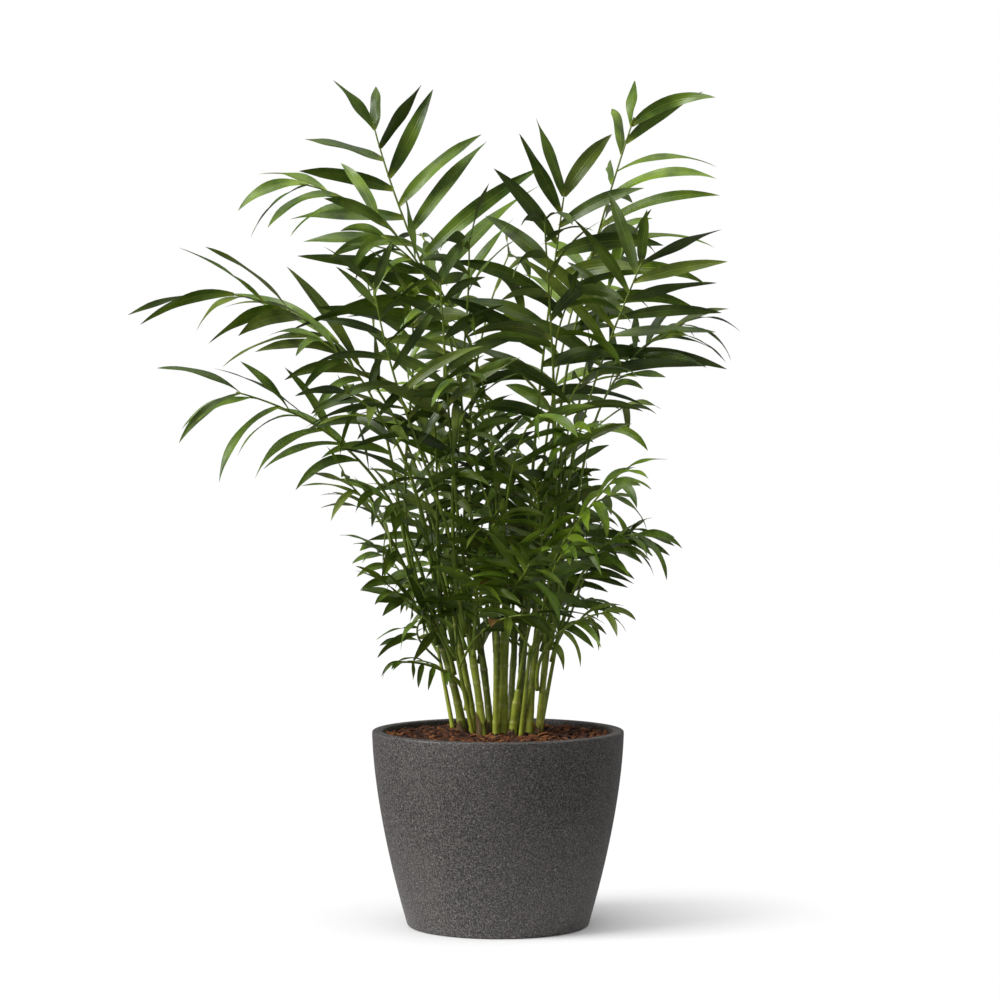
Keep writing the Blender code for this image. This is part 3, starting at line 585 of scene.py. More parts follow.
def tube(limb, radius, sides, rings):
    """Mesh data of a fine closed tube on a limb's own curve."""
    last = rings - 1
    points = [limb.at(i / last) for i in range(rings)]
    tangents = [points[min(i + 1, last)] - points[max(i - 1, 0)] for i in range(rings)]
    tangents[0] = UP if limb.upright else limb.tangent(0)
    tangents = [tangent.normalized() for tangent in tangents]
    across = tangents[0].orthogonal().normalized()
    verts, faces = [], []
    for i, (point, tangent) in enumerate(zip(points, tangents)):
        if i:
            across = tangents[i - 1].rotation_difference(tangent) @ across
        size = radius(i / last)
        for k in range(sides):
            turn = Quaternion(tangent, 2 * math.pi * k / sides)
            verts.append(point + (turn @ across) * size)
    for ring, k in product(range(last), range(sides)):
        a, b = ring * sides + k, ring * sides + (k + 1) % sides
        faces.append([a, b, b + sides, a + sides])
    faces.append(list(reversed(range(sides))))
    faces.append(list(range(len(verts) - sides, len(verts))))
    return verts, faces


def cane_radius(radius):
    """A cane flares at its foot, swells a little at its leaf sheaths and tapers to its tip."""

    def at(t):
        flare = CANE_FLARE * math.exp(-t / CANE_FLARE_SHARE)
        sheath = CANE_SHEATH * math.exp(-(((t - CANE_SHEATH_AT) / CANE_SHEATH_SPAN) ** 2))
        return radius * (1 + flare + sheath - CANE_TAPER * t)

    return at


def cane_limb(cane):
    """A cane that rises upright from the mulch and leans over to its tip."""
    foot = Vector((*cane.foot, MULCH_TOP + GAP))
    tip = Vector(cane.tip)
    height = (tip - foot).length
    lean = (tip - foot).normalized()
    start = (UP + lean).normalized()
    near, far = CANE_HANDLES
    guides = (foot, foot + start * height * near, tip - lean * height * far, tip)
    return Limb(guides, cane_radius(cane.radius), CANE_RINGS, upright=True)


def level(vector):
    """The level direction of a vector, or +X for an upright one."""
    flat = Vector((vector.x, vector.y, 0))
    return flat.normalized() if flat.length > 1e-6 else Vector((1, 0, 0))


def distances(points, starts, ends):
    """Distance from each point to each segment, and the share of the segment it falls on."""
    along = ends - starts
    offset = points[:, None, :] - starts[None, :, :]
    share = (offset * along).sum(-1) / (along * along).sum(-1)
    share = np.clip(share, 0, 1)
    nearest = starts[None] + along[None] * share[..., None]
    return np.linalg.norm(points[:, None, :] - nearest, axis=-1), share


def room(limb, others):
    """The narrowest gap between a limb and the others."""
    samples, reach = [], []
    for a, b, ra, rb in zip(limb.points, limb.points[1:], limb.radii, limb.radii[1:]):
        count = max(2, math.ceil((b - a).length / RIB_STEP))
        for i in range(count):
            samples.append(a.lerp(b, i / count))
            reach.append(mix(ra, rb, i / count))
    samples.append(limb.points[-1])
    reach.append(limb.radii[-1])
    narrowest = 1.0
    samples, reach = np.array(samples), np.array(reach)
    for other in others:
        starts = np.array(other.points[:-1])
        ends = np.array(other.points[1:])
        gap, share = distances(samples, starts, ends)
        start_radii = np.array(other.radii[:-1])
        end_radii = np.array(other.radii[1:])
        gap = gap - reach[:, None] - (start_radii + (end_radii - start_radii) * share)
        narrowest = min(narrowest, gap.min())
    return narrowest


def rib_radius(foot_radius):
    """A rib tapers from its foot to its tip."""
    return lambda t: mix(foot_radius, RIB_TIP_RADIUS, t**RIB_TAPER)


def rib_limb(frond, cane, foot_turn, sway):
    """The rib of a frond, from its seat on the cane to its tip."""
    tip = Vector(frond.tip)
    seat = cane.at(frond.grip)
    along = cane.tangent(frond.grip)
    out = level(tip - seat)
    out = Quaternion(UP, math.radians(foot_turn)) @ out
    cane_size = cane.radius(frond.grip)
    size = cane_size * RIB_FOOT_SHARE
    if frond.grip >= 1:
        foot = seat + along * GAP
        start = along
    else:
        out = (out - along * out.dot(along)).normalized()
        foot = seat + out * (cane_size + size + GAP)
        axis = along.cross(out)
        start = Quaternion(axis, math.radians(frond.lean)) @ along
    reach = (tip - foot).length
    arrive = math.radians(frond.arrive)
    end = level(tip - foot) * math.cos(arrive) + UP * math.sin(arrive)
    near = foot + start * reach * RIB_HANDLE + sway * SWAY_NEAR_FOOT
    far = tip - end * reach * RIB_HANDLE + sway
    return Limb((foot, near, far, tip), rib_radius(size), RIB_RINGS)


def sways(direction):
    """Sideways shifts of a rib's guides, from none outwards in growing circles."""
    across = direction.orthogonal().normalized()
    yield Vector((0, 0, 0))
    for reach, step in product(SWAY_REACH, range(SWAY_DIRECTIONS)):
        turn = Quaternion(direction, 2 * math.pi * step / SWAY_DIRECTIONS)
        yield (turn @ across) * reach


def lead_rib(frond, canes, placed):
    """The first rib in the order of grips, turns and sways that clears every limb so far."""
    own = canes[frond.cane]
    others = [limb for limb in placed if limb is not own]
    chord = (Vector(frond.tip) - own.at(frond.grip)).normalized()
    at_side = frond.grip < 1
    drops, turns = (GRIP_DROPS, FOOT_TURNS) if at_side else ((0,), (0,))
    for drop, turn, sway in product(drops, turns, sways(chord)):
        rib = rib_limb(frond._replace(grip=frond.grip - drop), own, turn, sway)
        if room(rib, others) < RIB_CLEAR:
            continue
        if not at_side or room(rib, [own]) >= SEAT_CLEAR:
            return rib
    raise RuntimeError(f"{frond.name} has no clear way up")


def blade_frame(frond, rib, share):
    """Along, right and upper directions of a frond's blade at a share of its rib."""
    along = rib.tangent(share)
    face = Vector(frond.face).normalized()
    right = along.cross(face) + FACE_BIAS * level(rib.tangent(1)).cross(UP)
    right.normalize()
    return along, right, right.cross(along)


def tier_fronds():
    """Fronds of the tiers, dealt in turn to the back and the front and over the canes."""
    draw = random.Random(TIER_SEED)
    carried = {cane.name: 0 for cane in CANES}
    for tier in TIERS:
        for i in range(tier.count):
            side = 90 if i % 2 == 0 else -90
            turn = (i * GOLDEN_SHARE % 1 * 2 - 1) * TIER_SPREAD
            azimuth = math.radians(side + turn)
            reach = mix(*tier.reach, draw.random())
            tip = (
                CROWN_MIDDLE[0] + reach * math.cos(azimuth),
                CROWN_MIDDLE[1] + reach * math.sin(azimuth),
                mix(*tier.height, draw.random()),
            )
            cane = min(CANES, key=lambda c: misfit(c, tip, carried))
            carried[cane.name] += 1
            arrive, grip = mix(*tier.arrive, draw.random()), mix(*tier.grip, draw.random())
            face = (draw.uniform(-TIER_FACE, TIER_FACE), draw.uniform(-TIER_FACE, TIER_FACE), 1)
            yield Frond(
                f"frond_{tier.name}_{i + 1}", cane.name, tip, arrive, min(grip, SIDE_GRIP),
                bare=tier.bare, pairs=tier.pairs, leaf=tier.leaf, width=tier.width, face=face,
                droop=mix(*TIER_DROOP, draw.random()), splay=mix(*TIER_SPLAY, draw.random()),
            )


def misfit(cane, tip, carried):
    """How badly a cane suits a tip: away from its direction, low, or well laden already."""
    away = -Vector((*cane.tip[:2], 0)).dot(level(Vector(tip)))
    return away + LADEN_COST * carried[cane.name] + max(0, LOW_CANE - cane.tip[2])


def stem_radius(t):
    """A shoot's stem tapers from its foot to its tip."""
    return SHOOT_RADIUS * mix(*SHOOT_TAPER, t)


def shoot_parts(shoot):
    """The stem of a shoot and the fronds that spring from it."""
    azimuth = math.radians(shoot.azimuth)
    out = Vector((math.cos(azimuth), math.sin(azimuth), 0))
    foot = Vector((*shoot.foot, MULCH_TOP + GAP))
    tip = foot + (UP + out * SHOOT_LEAN) * shoot.height
    near, far = (foot.lerp(tip, share) for share in SHOOT_HANDLES)
    stem = Limb((foot, near, far, tip), stem_radius, SHOOT_RINGS, upright=True)
    fronds = []
    for i, grip in enumerate(SHOOT_GRIP):
        way = Quaternion(UP, math.radians(SHOOT_TURN * (i - 1))) @ out
        end = tuple(tip + way * SHOOT_REACH[i] + UP * SHOOT_RISE[i])
        name = f"{shoot.name}_{i + 1}"
        fronds.append(Frond(name, shoot.name, end, SHOOT_ARRIVE[i], grip, **SHOOT_FROND))
    return stem, fronds


def shoot_rib(frond, stem, sway):
    """A rib that starts inside its stem, so that the two fuse."""
    foot = stem.at(frond.grip)
    tip = Vector(frond.tip)
    reach = (tip - foot).length
    arrive = math.radians(frond.arrive)
    out = level(tip - foot)
    start = (UP * SHOOT_RIB_RISE + out).normalized()
    end = out * math.cos(arrive) + UP * math.sin(arrive)
    near = foot + start * reach * RIB_HANDLE + sway * SWAY_NEAR_FOOT
    far = tip - end * reach * RIB_HANDLE + sway
    size = stem.radius(frond.grip) * SHOOT_RIB_SHARE
    return Limb((foot, near, far, tip), rib_radius(size), SHOOT_RIB_RINGS)


def lead_shoot_rib(frond, stem, others):
    """The first rib in the order of sways that clears every limb of the other nodes."""
    for sway in sways((Vector(frond.tip) - stem.at(1)).normalized()):
        rib = shoot_rib(frond, stem, sway)
        if room(rib, others) >= RIB_CLEAR:
            return rib
    raise RuntimeError(f"{frond.name} has no clear way up")


class Web:
    """Adds nodes to a node tree and links them, so that a formula reads in one line."""

    def __init__(self, tree):
        self.tree = tree

    def add(self, kind, inputs=(), **settings):
        """A new node, with inputs by name or number, each a linked socket or a plain value."""
        node = self.tree.nodes.new(kind)
        for key, value in settings.items():
            setattr(node, key, value)
        for key, value in dict(inputs).items():
            self.feed(node.inputs[key], value)
        return node

    def feed(self, socket, value):
        if isinstance(value, bpy.types.NodeSocket):
            self.tree.links.new(value, socket)
        else:
            socket.default_value = value

    def math(self, operation, *values, clamp=False):
        inputs = dict(enumerate(values))
        return self.add("ShaderNodeMath", inputs, operation=operation, use_clamp=clamp).outputs[0]

    def vector(self, operation, *values):
        inputs = dict(enumerate(values))
        return self.add("ShaderNodeVectorMath", inputs, operation=operation).outputs[0]

    def length(self, vector):
        return self.add("ShaderNodeVectorMath", {0: vector}, operation="LENGTH").outputs["Value"]

    def scaled(self, vector, factor):
        inputs = {0: vector, "Scale": factor}
        return self.add("ShaderNodeVectorMath", inputs, operation="SCALE").outputs[0]

    def rotated(self, vector, axis, angle):
        inputs = {"Vector": vector, "Axis": axis, "Angle": angle}
        return self.add("ShaderNodeVectorRotate", inputs, rotation_type="AXIS_ANGLE").outputs[0]

    def split(self, vector):
        return tuple(self.add("ShaderNodeSeparateXYZ", {0: vector}).outputs)

    def noise(self, vector, scale, detail=3.0, roughness=0.55):
        inputs = {"Vector": vector, "Scale": scale, "Detail": detail, "Roughness": roughness}
        return self.add("ShaderNodeTexNoise", inputs).outputs["Fac"]

    def fibres(self, place, stretch, scale, detail):
        """Noise that is drawn out along the height, as in a fibrous stem."""
        x, y, z = self.split(place)
        inputs = {0: x, 1: y, 2: self.math("MULTIPLY", z, stretch)}
        return self.noise(self.add("ShaderNodeCombineXYZ", inputs).outputs[0], scale, detail)

    def step(self, value, low, high, to_low=0.0, to_high=1.0):
        """Maps the stretch from low to high onto the one from to_low to to_high."""
        inputs = {"Value": value, "From Min": low, "From Max": high,
                  "To Min": to_low, "To Max": to_high}
        return self.add("ShaderNodeMapRange", inputs).outputs["Result"]

    def weighed(self, first, weight, second):
        """The first value by its weight plus the second by the rest."""
        rest = self.math("MULTIPLY", second, 1 - weight)
        return self.math("ADD", self.math("MULTIPLY", first, weight), rest)

    def blend(self, share, first, second):
        """A mix of two colours, each a linked socket or plain red, green and blue."""
        node = self.add("ShaderNodeMix", {"Factor": share}, data_type="RGBA")
        for name, colour in (("A", first), ("B", second)):
            socket = next(s for s in node.inputs if s.name == name and s.type == "RGBA")
            plain = not isinstance(colour, bpy.types.NodeSocket)
            self.feed(socket, (*colour, 1) if plain else colour)
        return next(s for s in node.outputs if s.type == "RGBA")

    def finish(self, shader, colour, roughness, height=None, depth=0.0):
        """Wires colour, roughness and relief into a Principled shader."""
        self.feed(shader.inputs["Base Color"], colour)
        self.feed(shader.inputs["Roughness"], roughness)
        if height is not None:
            inputs = {"Strength": 1.0, "Distance": depth, "Height": height}
            self.feed(shader.inputs["Normal"], self.add("ShaderNodeBump", inputs).outputs[0])

    def kept(self, name):
        """The vector that each point or piece carries under a name."""
        kind = "GeometryNodeInputNamedAttribute"
        return self.add(kind, {"Name": name}, data_type="FLOAT_VECTOR").outputs[0]

    def painted(self, geometry, given, tone, floors):
        """Geometry whose faces take the last finish with a floor that their tone passes."""
        for name, lowest in floors.items():
            chosen = self.math("GREATER_THAN", tone, lowest)
            inputs = {"Geometry": geometry, "Selection": chosen, "Material": given.outputs[name]}
            geometry = self.add("GeometryNodeSetMaterial", inputs).outputs[0]
        return geometry


def shaded(colour, share):
    """A colour made darker or lighter by a share."""
    return tuple(part * share for part in colour)


def new_material(name):
    """A material with its web of nodes, its shader and its object coordinates."""
    made = bpy.data.materials.new(name)
    made.use_nodes = True
    web = Web(made.node_tree)
    place = web.add("ShaderNodeTexCoord").outputs["Object"]
    return made, web, made.node_tree.nodes["Principled BSDF"], place


def leaf_finish(name, tones):
    """Satin leaf: fine lengthwise veins, mottled green, paler where it meets the rib."""
    made, web, shader, place = new_material(name)
    dark, light, root = tones
    uv = web.add("ShaderNodeUVMap", uv_map="UVMap").outputs[0]
    along, across, _ = web.split(uv)
    veins = web.math("SINE", web.math("MULTIPLY", across, 2 * math.pi * LEAF_VEINS))
    middle = web.math("ABSOLUTE", web.math("SUBTRACT", across, 0.5))
    groove = web.step(middle, 0.0, LEAF_GROOVE)
    mottle = web.step(web.noise(place, LEAF_MOTTLE), *NOISE_MIDDLE)
    streaks = web.math("MULTIPLY", web.math("ADD", veins, 1.0), LEAF_STREAKS)
    share = web.math("ADD", web.math("MULTIPLY", mottle, LEAF_MOTTLE_SHARE), streaks, clamp=True)
    colour = web.blend(share, dark, light)
    colour = web.blend(web.step(groove, 0.0, 1.0, LEAF_GROOVE_PALE, 0.0), colour, root)
    colour = web.blend(web.step(along, 0.0, LEAF_ROOT, LEAF_ROOT_PALE, 0.0), colour, root)
    roughness = web.step(web.noise(place, LEAF_GLOSS, 2), *NOISE_WIDE, *LEAF_ROUGHNESS)
    height = web.math("ADD", web.math("MULTIPLY", veins, LEAF_VEIN_HEIGHT), groove)
    web.finish(shader, colour, roughness, height, LEAF_RELIEF)
    shader.inputs["Specular IOR Level"].default_value = LEAF_SHINE
    return made


def stem_finish(name, tones, foot_colour):
    """Green stem: fine lengthwise fibres, a yellower foot and paler rings where it has any."""
    made, web, shader, place = new_material(name)
    dark, light, foot_height, foot_share = tones
    fibres = web.fibres(place, STEM_STRETCH, STEM_FIBRES, 2)
    patches = web.noise(place, STEM_PATCHES)
    colour = web.blend(web.step(web.weighed(fibres, 0.5, patches), *NOISE_MIDDLE), dark, light)
    ring = web.add("ShaderNodeAttribute", attribute_name="ring").outputs["Fac"]
    colour = web.blend(web.math("MULTIPLY", ring, RING_SHARE), colour, RING_COLOUR)
    height = web.split(place)[2]
    low = web.step(height, MULCH_TOP, MULCH_TOP + foot_height, STEM_FOOT_SHARE, 0.0)
    low = web.math("MULTIPLY", low, web.step(patches, *STEM_FOOT_PATCHES))
    colour = web.blend(low, colour, shaded(foot_colour, foot_share))
    roughness = web.step(fibres, *NOISE_WIDE, *STEM_ROUGHNESS)
    web.finish(shader, colour, roughness, fibres, STEM_RELIEF)
    return made


def husk_finish():
    """Dry leaf sheath at the foot of a cane: papery, torn, red-brown to straw."""
    made, web, shader, place = new_material("dry sheath")
    fibres = web.fibres(place, HUSK_STRETCH, HUSK_FIBRES, 4)
    colour = web.blend(web.step(fibres, *HUSK_CONTRAST), *HUSK_TONES)
    web.finish(shader, colour, HUSK_ROUGHNESS, fibres, HUSK_RELIEF)
    return made


def pot_finish(base):
    """Cast composite: dark grey with fine light grains, painted shade in its small pits and a faint
    cloudiness.
    """
    made, web, shader, place = new_material("pot cast stone")
    dark, light, pale, deep = (shaded(base, share) for share in POT_SHADES)
    grain = web.noise(place, POT_GRAIN, 2, POT_GRAIN_ROUGHNESS)
    specks = web.step(web.noise(place, POT_SPECKS, 1), *POT_SPECK_EDGE)
    pits = web.step(web.noise(place, POT_PITS, 2), *POT_PIT_EDGE)
    cloud = web.noise(place, POT_CLOUD)
    colour = web.blend(web.step(grain, *POT_GRAIN_EDGE), dark, light)
    colour = web.blend(web.step(cloud, *POT_CLOUD_EDGE, 0.0, POT_CLOUD_SHARE), colour, light)
    colour = web.blend(web.math("MULTIPLY", specks, POT_SPECK_SHARE), colour, pale)
    # Painted shade: the pits, which the relief sinks, are darkened towards the pit colour.
    colour = web.blend(web.step(pits, 0.0, 1.0, POT_PIT_SHADE_SHARE, 0.0), colour, deep)
    height = web.math("ADD", web.math("MULTIPLY", grain, 0.5), pits)
    web.finish(shader, colour, web.step(grain, *NOISE_WIDE, *POT_ROUGHNESS), height, POT_RELIEF)
    return made


def bark_finish(name, tones):
    """Bark chip: rough, with darker furrows along its fibres."""
    made, web, shader, place = new_material(name)
    furrows = web.noise(place, BARK_FURROWS, 4, BARK_FURROW_ROUGHNESS)
    blotch = web.noise(place, BARK_BLOTCH, 2)
    share = web.weighed(furrows, BARK_FURROW_SHARE, blotch)
    colour = web.blend(web.step(share, *BARK_CONTRAST), *tones)
    web.finish(shader, colour, BARK_ROUGHNESS, furrows, BARK_RELIEF)
    return made


def floor_finish():
    """Pale floor that brightens to the white of the background away from the pot."""
    made, web, shader, place = new_material("pale floor")
    far = web.step(web.length(place), *FLOOR_FADE)
    web.finish(shader, web.blend(far, FLOOR_COLOUR, (0.0, 0.0, 0.0)), FLOOR_ROUGHNESS)
    shader.inputs["Specular IOR Level"].default_value = FLOOR_SHINE
    shader.inputs["Emission Color"].default_value = (1, 1, 1, 1)
    seen = web.add("ShaderNodeLightPath").outputs["Is Camera Ray"]
    glow = web.math("MULTIPLY", far, web.step(seen, 0, 1, FLOOR_BOUNCE, 1.0))
    web.feed(shader.inputs["Emission Strength"], glow)
    return made


def link_piece(name, mesh, replaced=()):
    """An object at the origin that rides on the plant's body and stands for solids."""
    obj = bpy.data.objects.new(name, mesh)
    bpy.context.scene.collection.objects.link(obj)
    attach(obj, "root")
    if replaced:
        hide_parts(*replaced)
    return obj


def plain_mesh(name, verts, faces, finish):
    """A smoothly shaded mesh with one finish."""
    mesh = bpy.data.meshes.new(name)
    mesh.from_pydata([tuple(v) for v in verts], [], faces)
    mesh.validate()
    mesh.materials.append(finish)
    mesh.shade_smooth()
    return mesh


def joined(parts):
    """Mesh data of several pieces as one."""
    verts, faces = [], []
    for part_verts, part_faces in parts:
        start = len(verts)
        verts += part_verts
        faces += [[start + i for i in face] for face in part_faces]
    return verts, faces


def ringed_radius(limb, seed):
    """A cane's radius with the raised rings that old leaves leave behind."""
    draw = random.Random(seed)
    length = (limb.guides[3] - limb.guides[0]).length
    marks, place = [], CANE_RING_SPACING[0]
    while place < length:
        marks.append(place / length)
        place += mix(*CANE_RING_SPACING, place / length) * draw.uniform(*CANE_RING_VARIES)
    span = CANE_RING_SPAN / length

    def at(t):
        swell = sum(math.exp(-(((t - mark) / span) ** 2)) for mark in marks)
        end = max(0.0, (t - 1 + CANE_END_SHARE) / CANE_END_SHARE)
        return limb.radius(t) * (1 + CANE_RING_SWELL * swell) * mix(1.0, RIB_FOOT_SHARE, end)

    return at


def mark_rings(mesh, limb, radius):
    """Keeps on a cane's points how much each stands on a ring, for its finish."""
    layer = mesh.attributes.new("ring", "FLOAT", "POINT")
    for index in range(FINE_CANE_RINGS * FINE_CANE_SIDES):
        t = index // FINE_CANE_SIDES / (FINE_CANE_RINGS - 1)
        swell = (radius(t) / limb.radius(t) - 1) / CANE_RING_SWELL
        layer.data[index].value = min(1.0, max(0.0, swell))


def husk_mesh(limb, top, proud, seed):
    """A torn dry sheath round the foot of a cane, split at one side."""
    split = random.Random(seed).uniform(0, 2 * math.pi)
    around, upwards = HUSK_CREASE_STEPS
    verts, faces = [], []
    for ring, k in product(range(HUSK_RINGS), range(HUSK_SIDES)):
        share = ring / (HUSK_RINGS - 1)
        angle = split + 2 * math.pi * k / HUSK_SIDES * HUSK_WRAP
        tear = HUSK_TEAR * noise.noise(Vector((k * HUSK_TEAR_STEP, seed, HUSK_TEAR_PLACE)))
        t = share * (top + tear / CANE_USUAL_HEIGHT)
        open_out = 1 + HUSK_FLARE * share**HUSK_FLARE_CURVE
        crease = HUSK_CREASE * noise.noise(Vector((k * around, share * upwards, seed)))
        size = limb.radius(t) + proud * open_out + crease
        verts.append(limb.at(t) + Vector((math.cos(angle), math.sin(angle), 0)) * size)
    for ring, k in product(range(HUSK_RINGS - 1), range(HUSK_SIDES - 1)):
        a = ring * HUSK_SIDES + k
        faces.append([a, a + 1, a + 1 + HUSK_SIDES, a + HUSK_SIDES])
    return verts, faces


def grow_limbs():
    """Every limb where the solids have it, then the ribs of the finer inner fronds."""
    canes = {cane.name: cane_limb(cane) for cane in CANES}
    shoots = {shoot.name: shoot_parts(shoot) for shoot in SHOOTS}
    stems = {name: stem for name, (stem, _) in shoots.items()}
    placed = [*canes.values(), *stems.values()]
    dealt = list(tier_fronds())
    inner = [frond for frond in dealt if frond.name.startswith("frond_inner")]
    fronds = {}

    def lead(frond):
        rib = lead_rib(frond, canes, placed)
        placed.append(rib)
        fronds[frond.name] = [(frond, rib)]

    for frond in (*FRONDS, *[frond for frond in dealt if frond not in inner]):
        lead(frond)
    for name, (stem, small_fronds) in shoots.items():
        others = [limb for limb in placed if limb is not stem]
        ribs = [lead_shoot_rib(frond, stem, others) for frond in small_fronds]
        placed += ribs
        fronds[name] = list(zip(small_fronds, ribs))
    for frond in inner:
        lead(frond)
    return canes, stems, fronds


def kept_in_reach(root, out, fall, length, angle, reach):
    """A leaflet's length, shortened until its tip is no more than a little past the solid."""
    low, high = reach
    least = length * SHORTEST
    while length > least:
        ahead, drop = math.sin(angle) / angle, (1 - math.cos(angle)) / angle
        tip = root + (out * ahead + fall * drop) * length
        if all(a - REACH_PAST <= c <= b + REACH_PAST for a, c, b in zip(low, tip, high)):
            break
        length *= SHORTER
    return length


def dress(name):
    """How a frond is drawn: its shares of leaflet pairs, leaflet length, splay and width."""
    if name in FROND_DRESS:
        return FROND_DRESS[name]
    if name.startswith(FULL_FRONDS):
        return FULL_DRESS
    return UPPER_DRESS if name.startswith("frond_upper") else PLAIN_DRESS


def fine_leaflets(frond, rib, reach, density, width_scale):
    """Rows of attributes for the leaflets of a frond, finer than those of its solid."""
    draw = random.Random(frond.name + " fine")
    more, longer, closer, wider = dress(frond.name)
    pairs = max(FEWEST_PAIRS, round(frond.pairs * more * density))
    first_hand = draw.choice((-1, 1))
    for i, hand in product(range(pairs + 1), (first_hand, -first_hand)):
        later = 0 if hand == first_hand or i == pairs else STAGGER
        v = (i + later) / pairs
        share = mix(frond.bare, LAST_ROOT, v**ROOT_CURVE)
        root = rib.at(share)
        along, right, upper = blade_frame(frond, rib, share)
        angle = mix(frond.splay * closer, SPLAY_TIP, v**SPLAY_CURVE)
        angle = math.radians(angle + draw.uniform(-SPLAY_VARIES, SPLAY_VARIES) * SPLAY_SPREAD)
        lift = math.radians(draw.uniform(-LIFT_VARIES, LIFT_VARIES) * LIFT_SPREAD)
        size = mix(1.0, frond.tip_leaf, v**LEAF_CURVE) * (LOWEST_LEAF_SHARE if i == 0 else 1.0)
        length = frond.leaf * longer * size * draw.uniform(*LENGTH_VARIES)
        width = frond.width * wider * width_scale * draw.uniform(*WIDTH_VARIES)
        width *= mix(1.0, TIP_WIDTH, v)
        bend = math.radians(frond.droop) * draw.uniform(*BEND_VARIES)
        fold = Quaternion(along, math.radians(frond.folds[hand > 0]) * hand)
        side, above = fold @ (right * hand), fold @ upper
        out = along * math.cos(angle) + side * math.sin(angle)
        out = (out * math.cos(lift) + above * math.sin(lift)).normalized()
        top = (above - out * above.dot(out)).normalized()
        fall = -UP + out * out.dot(UP)
        hang = max(fall.length, LEAST_FALL)
        fall = fall / hang
        across = top.cross(out).normalized()
        curl = hand * draw.uniform(*CURL_SIDES) * CURL_VARIES
        roll = Quaternion(out, math.radians(draw.uniform(-ROLL_VARIES, ROLL_VARIES)))
        twist = math.radians(draw.uniform(-TWIST_VARIES, TWIST_VARIES))
        chance = draw.random()
        if chance < DRY_SHARE and root.z < DRY_BELOW:
            tone, length = DRY, length * DRY_LENGTH
        else:
            tone = SECOND if chance < SECOND_SHARE else MAIN
        angle = max(bend * hang, LEAST_ANGLE)
        length = kept_in_reach(root, out, fall, length, angle, reach)
        yield {
            "root": root, "out": out, "fall": fall, "hinge": out.cross(fall),
            "across": roll @ across, "upper": roll @ top,
            "size": Vector((length, width, angle)),
            "turns": Vector((curl, twist, draw.uniform(*RIPPLE_STARTS))),
            "tone": Vector((tone, 0, 0)),
        }


def new_tree(name, number, default, finishes):
    """A Geometry Nodes tree whose inputs are geometry, one number and its finishes."""
    tree = bpy.data.node_groups.new(name, "GeometryNodeTree")
    face = tree.interface
    face.new_socket("Geometry", in_out="INPUT", socket_type="NodeSocketGeometry")
    face.new_socket(number, in_out="INPUT", socket_type="NodeSocketFloat").default_value = default
    for finish in finishes:
        face.new_socket(finish, in_out="INPUT", socket_type="NodeSocketMaterial")
    face.new_socket("Geometry", in_out="OUTPUT", socket_type="NodeSocketGeometry")
    return tree


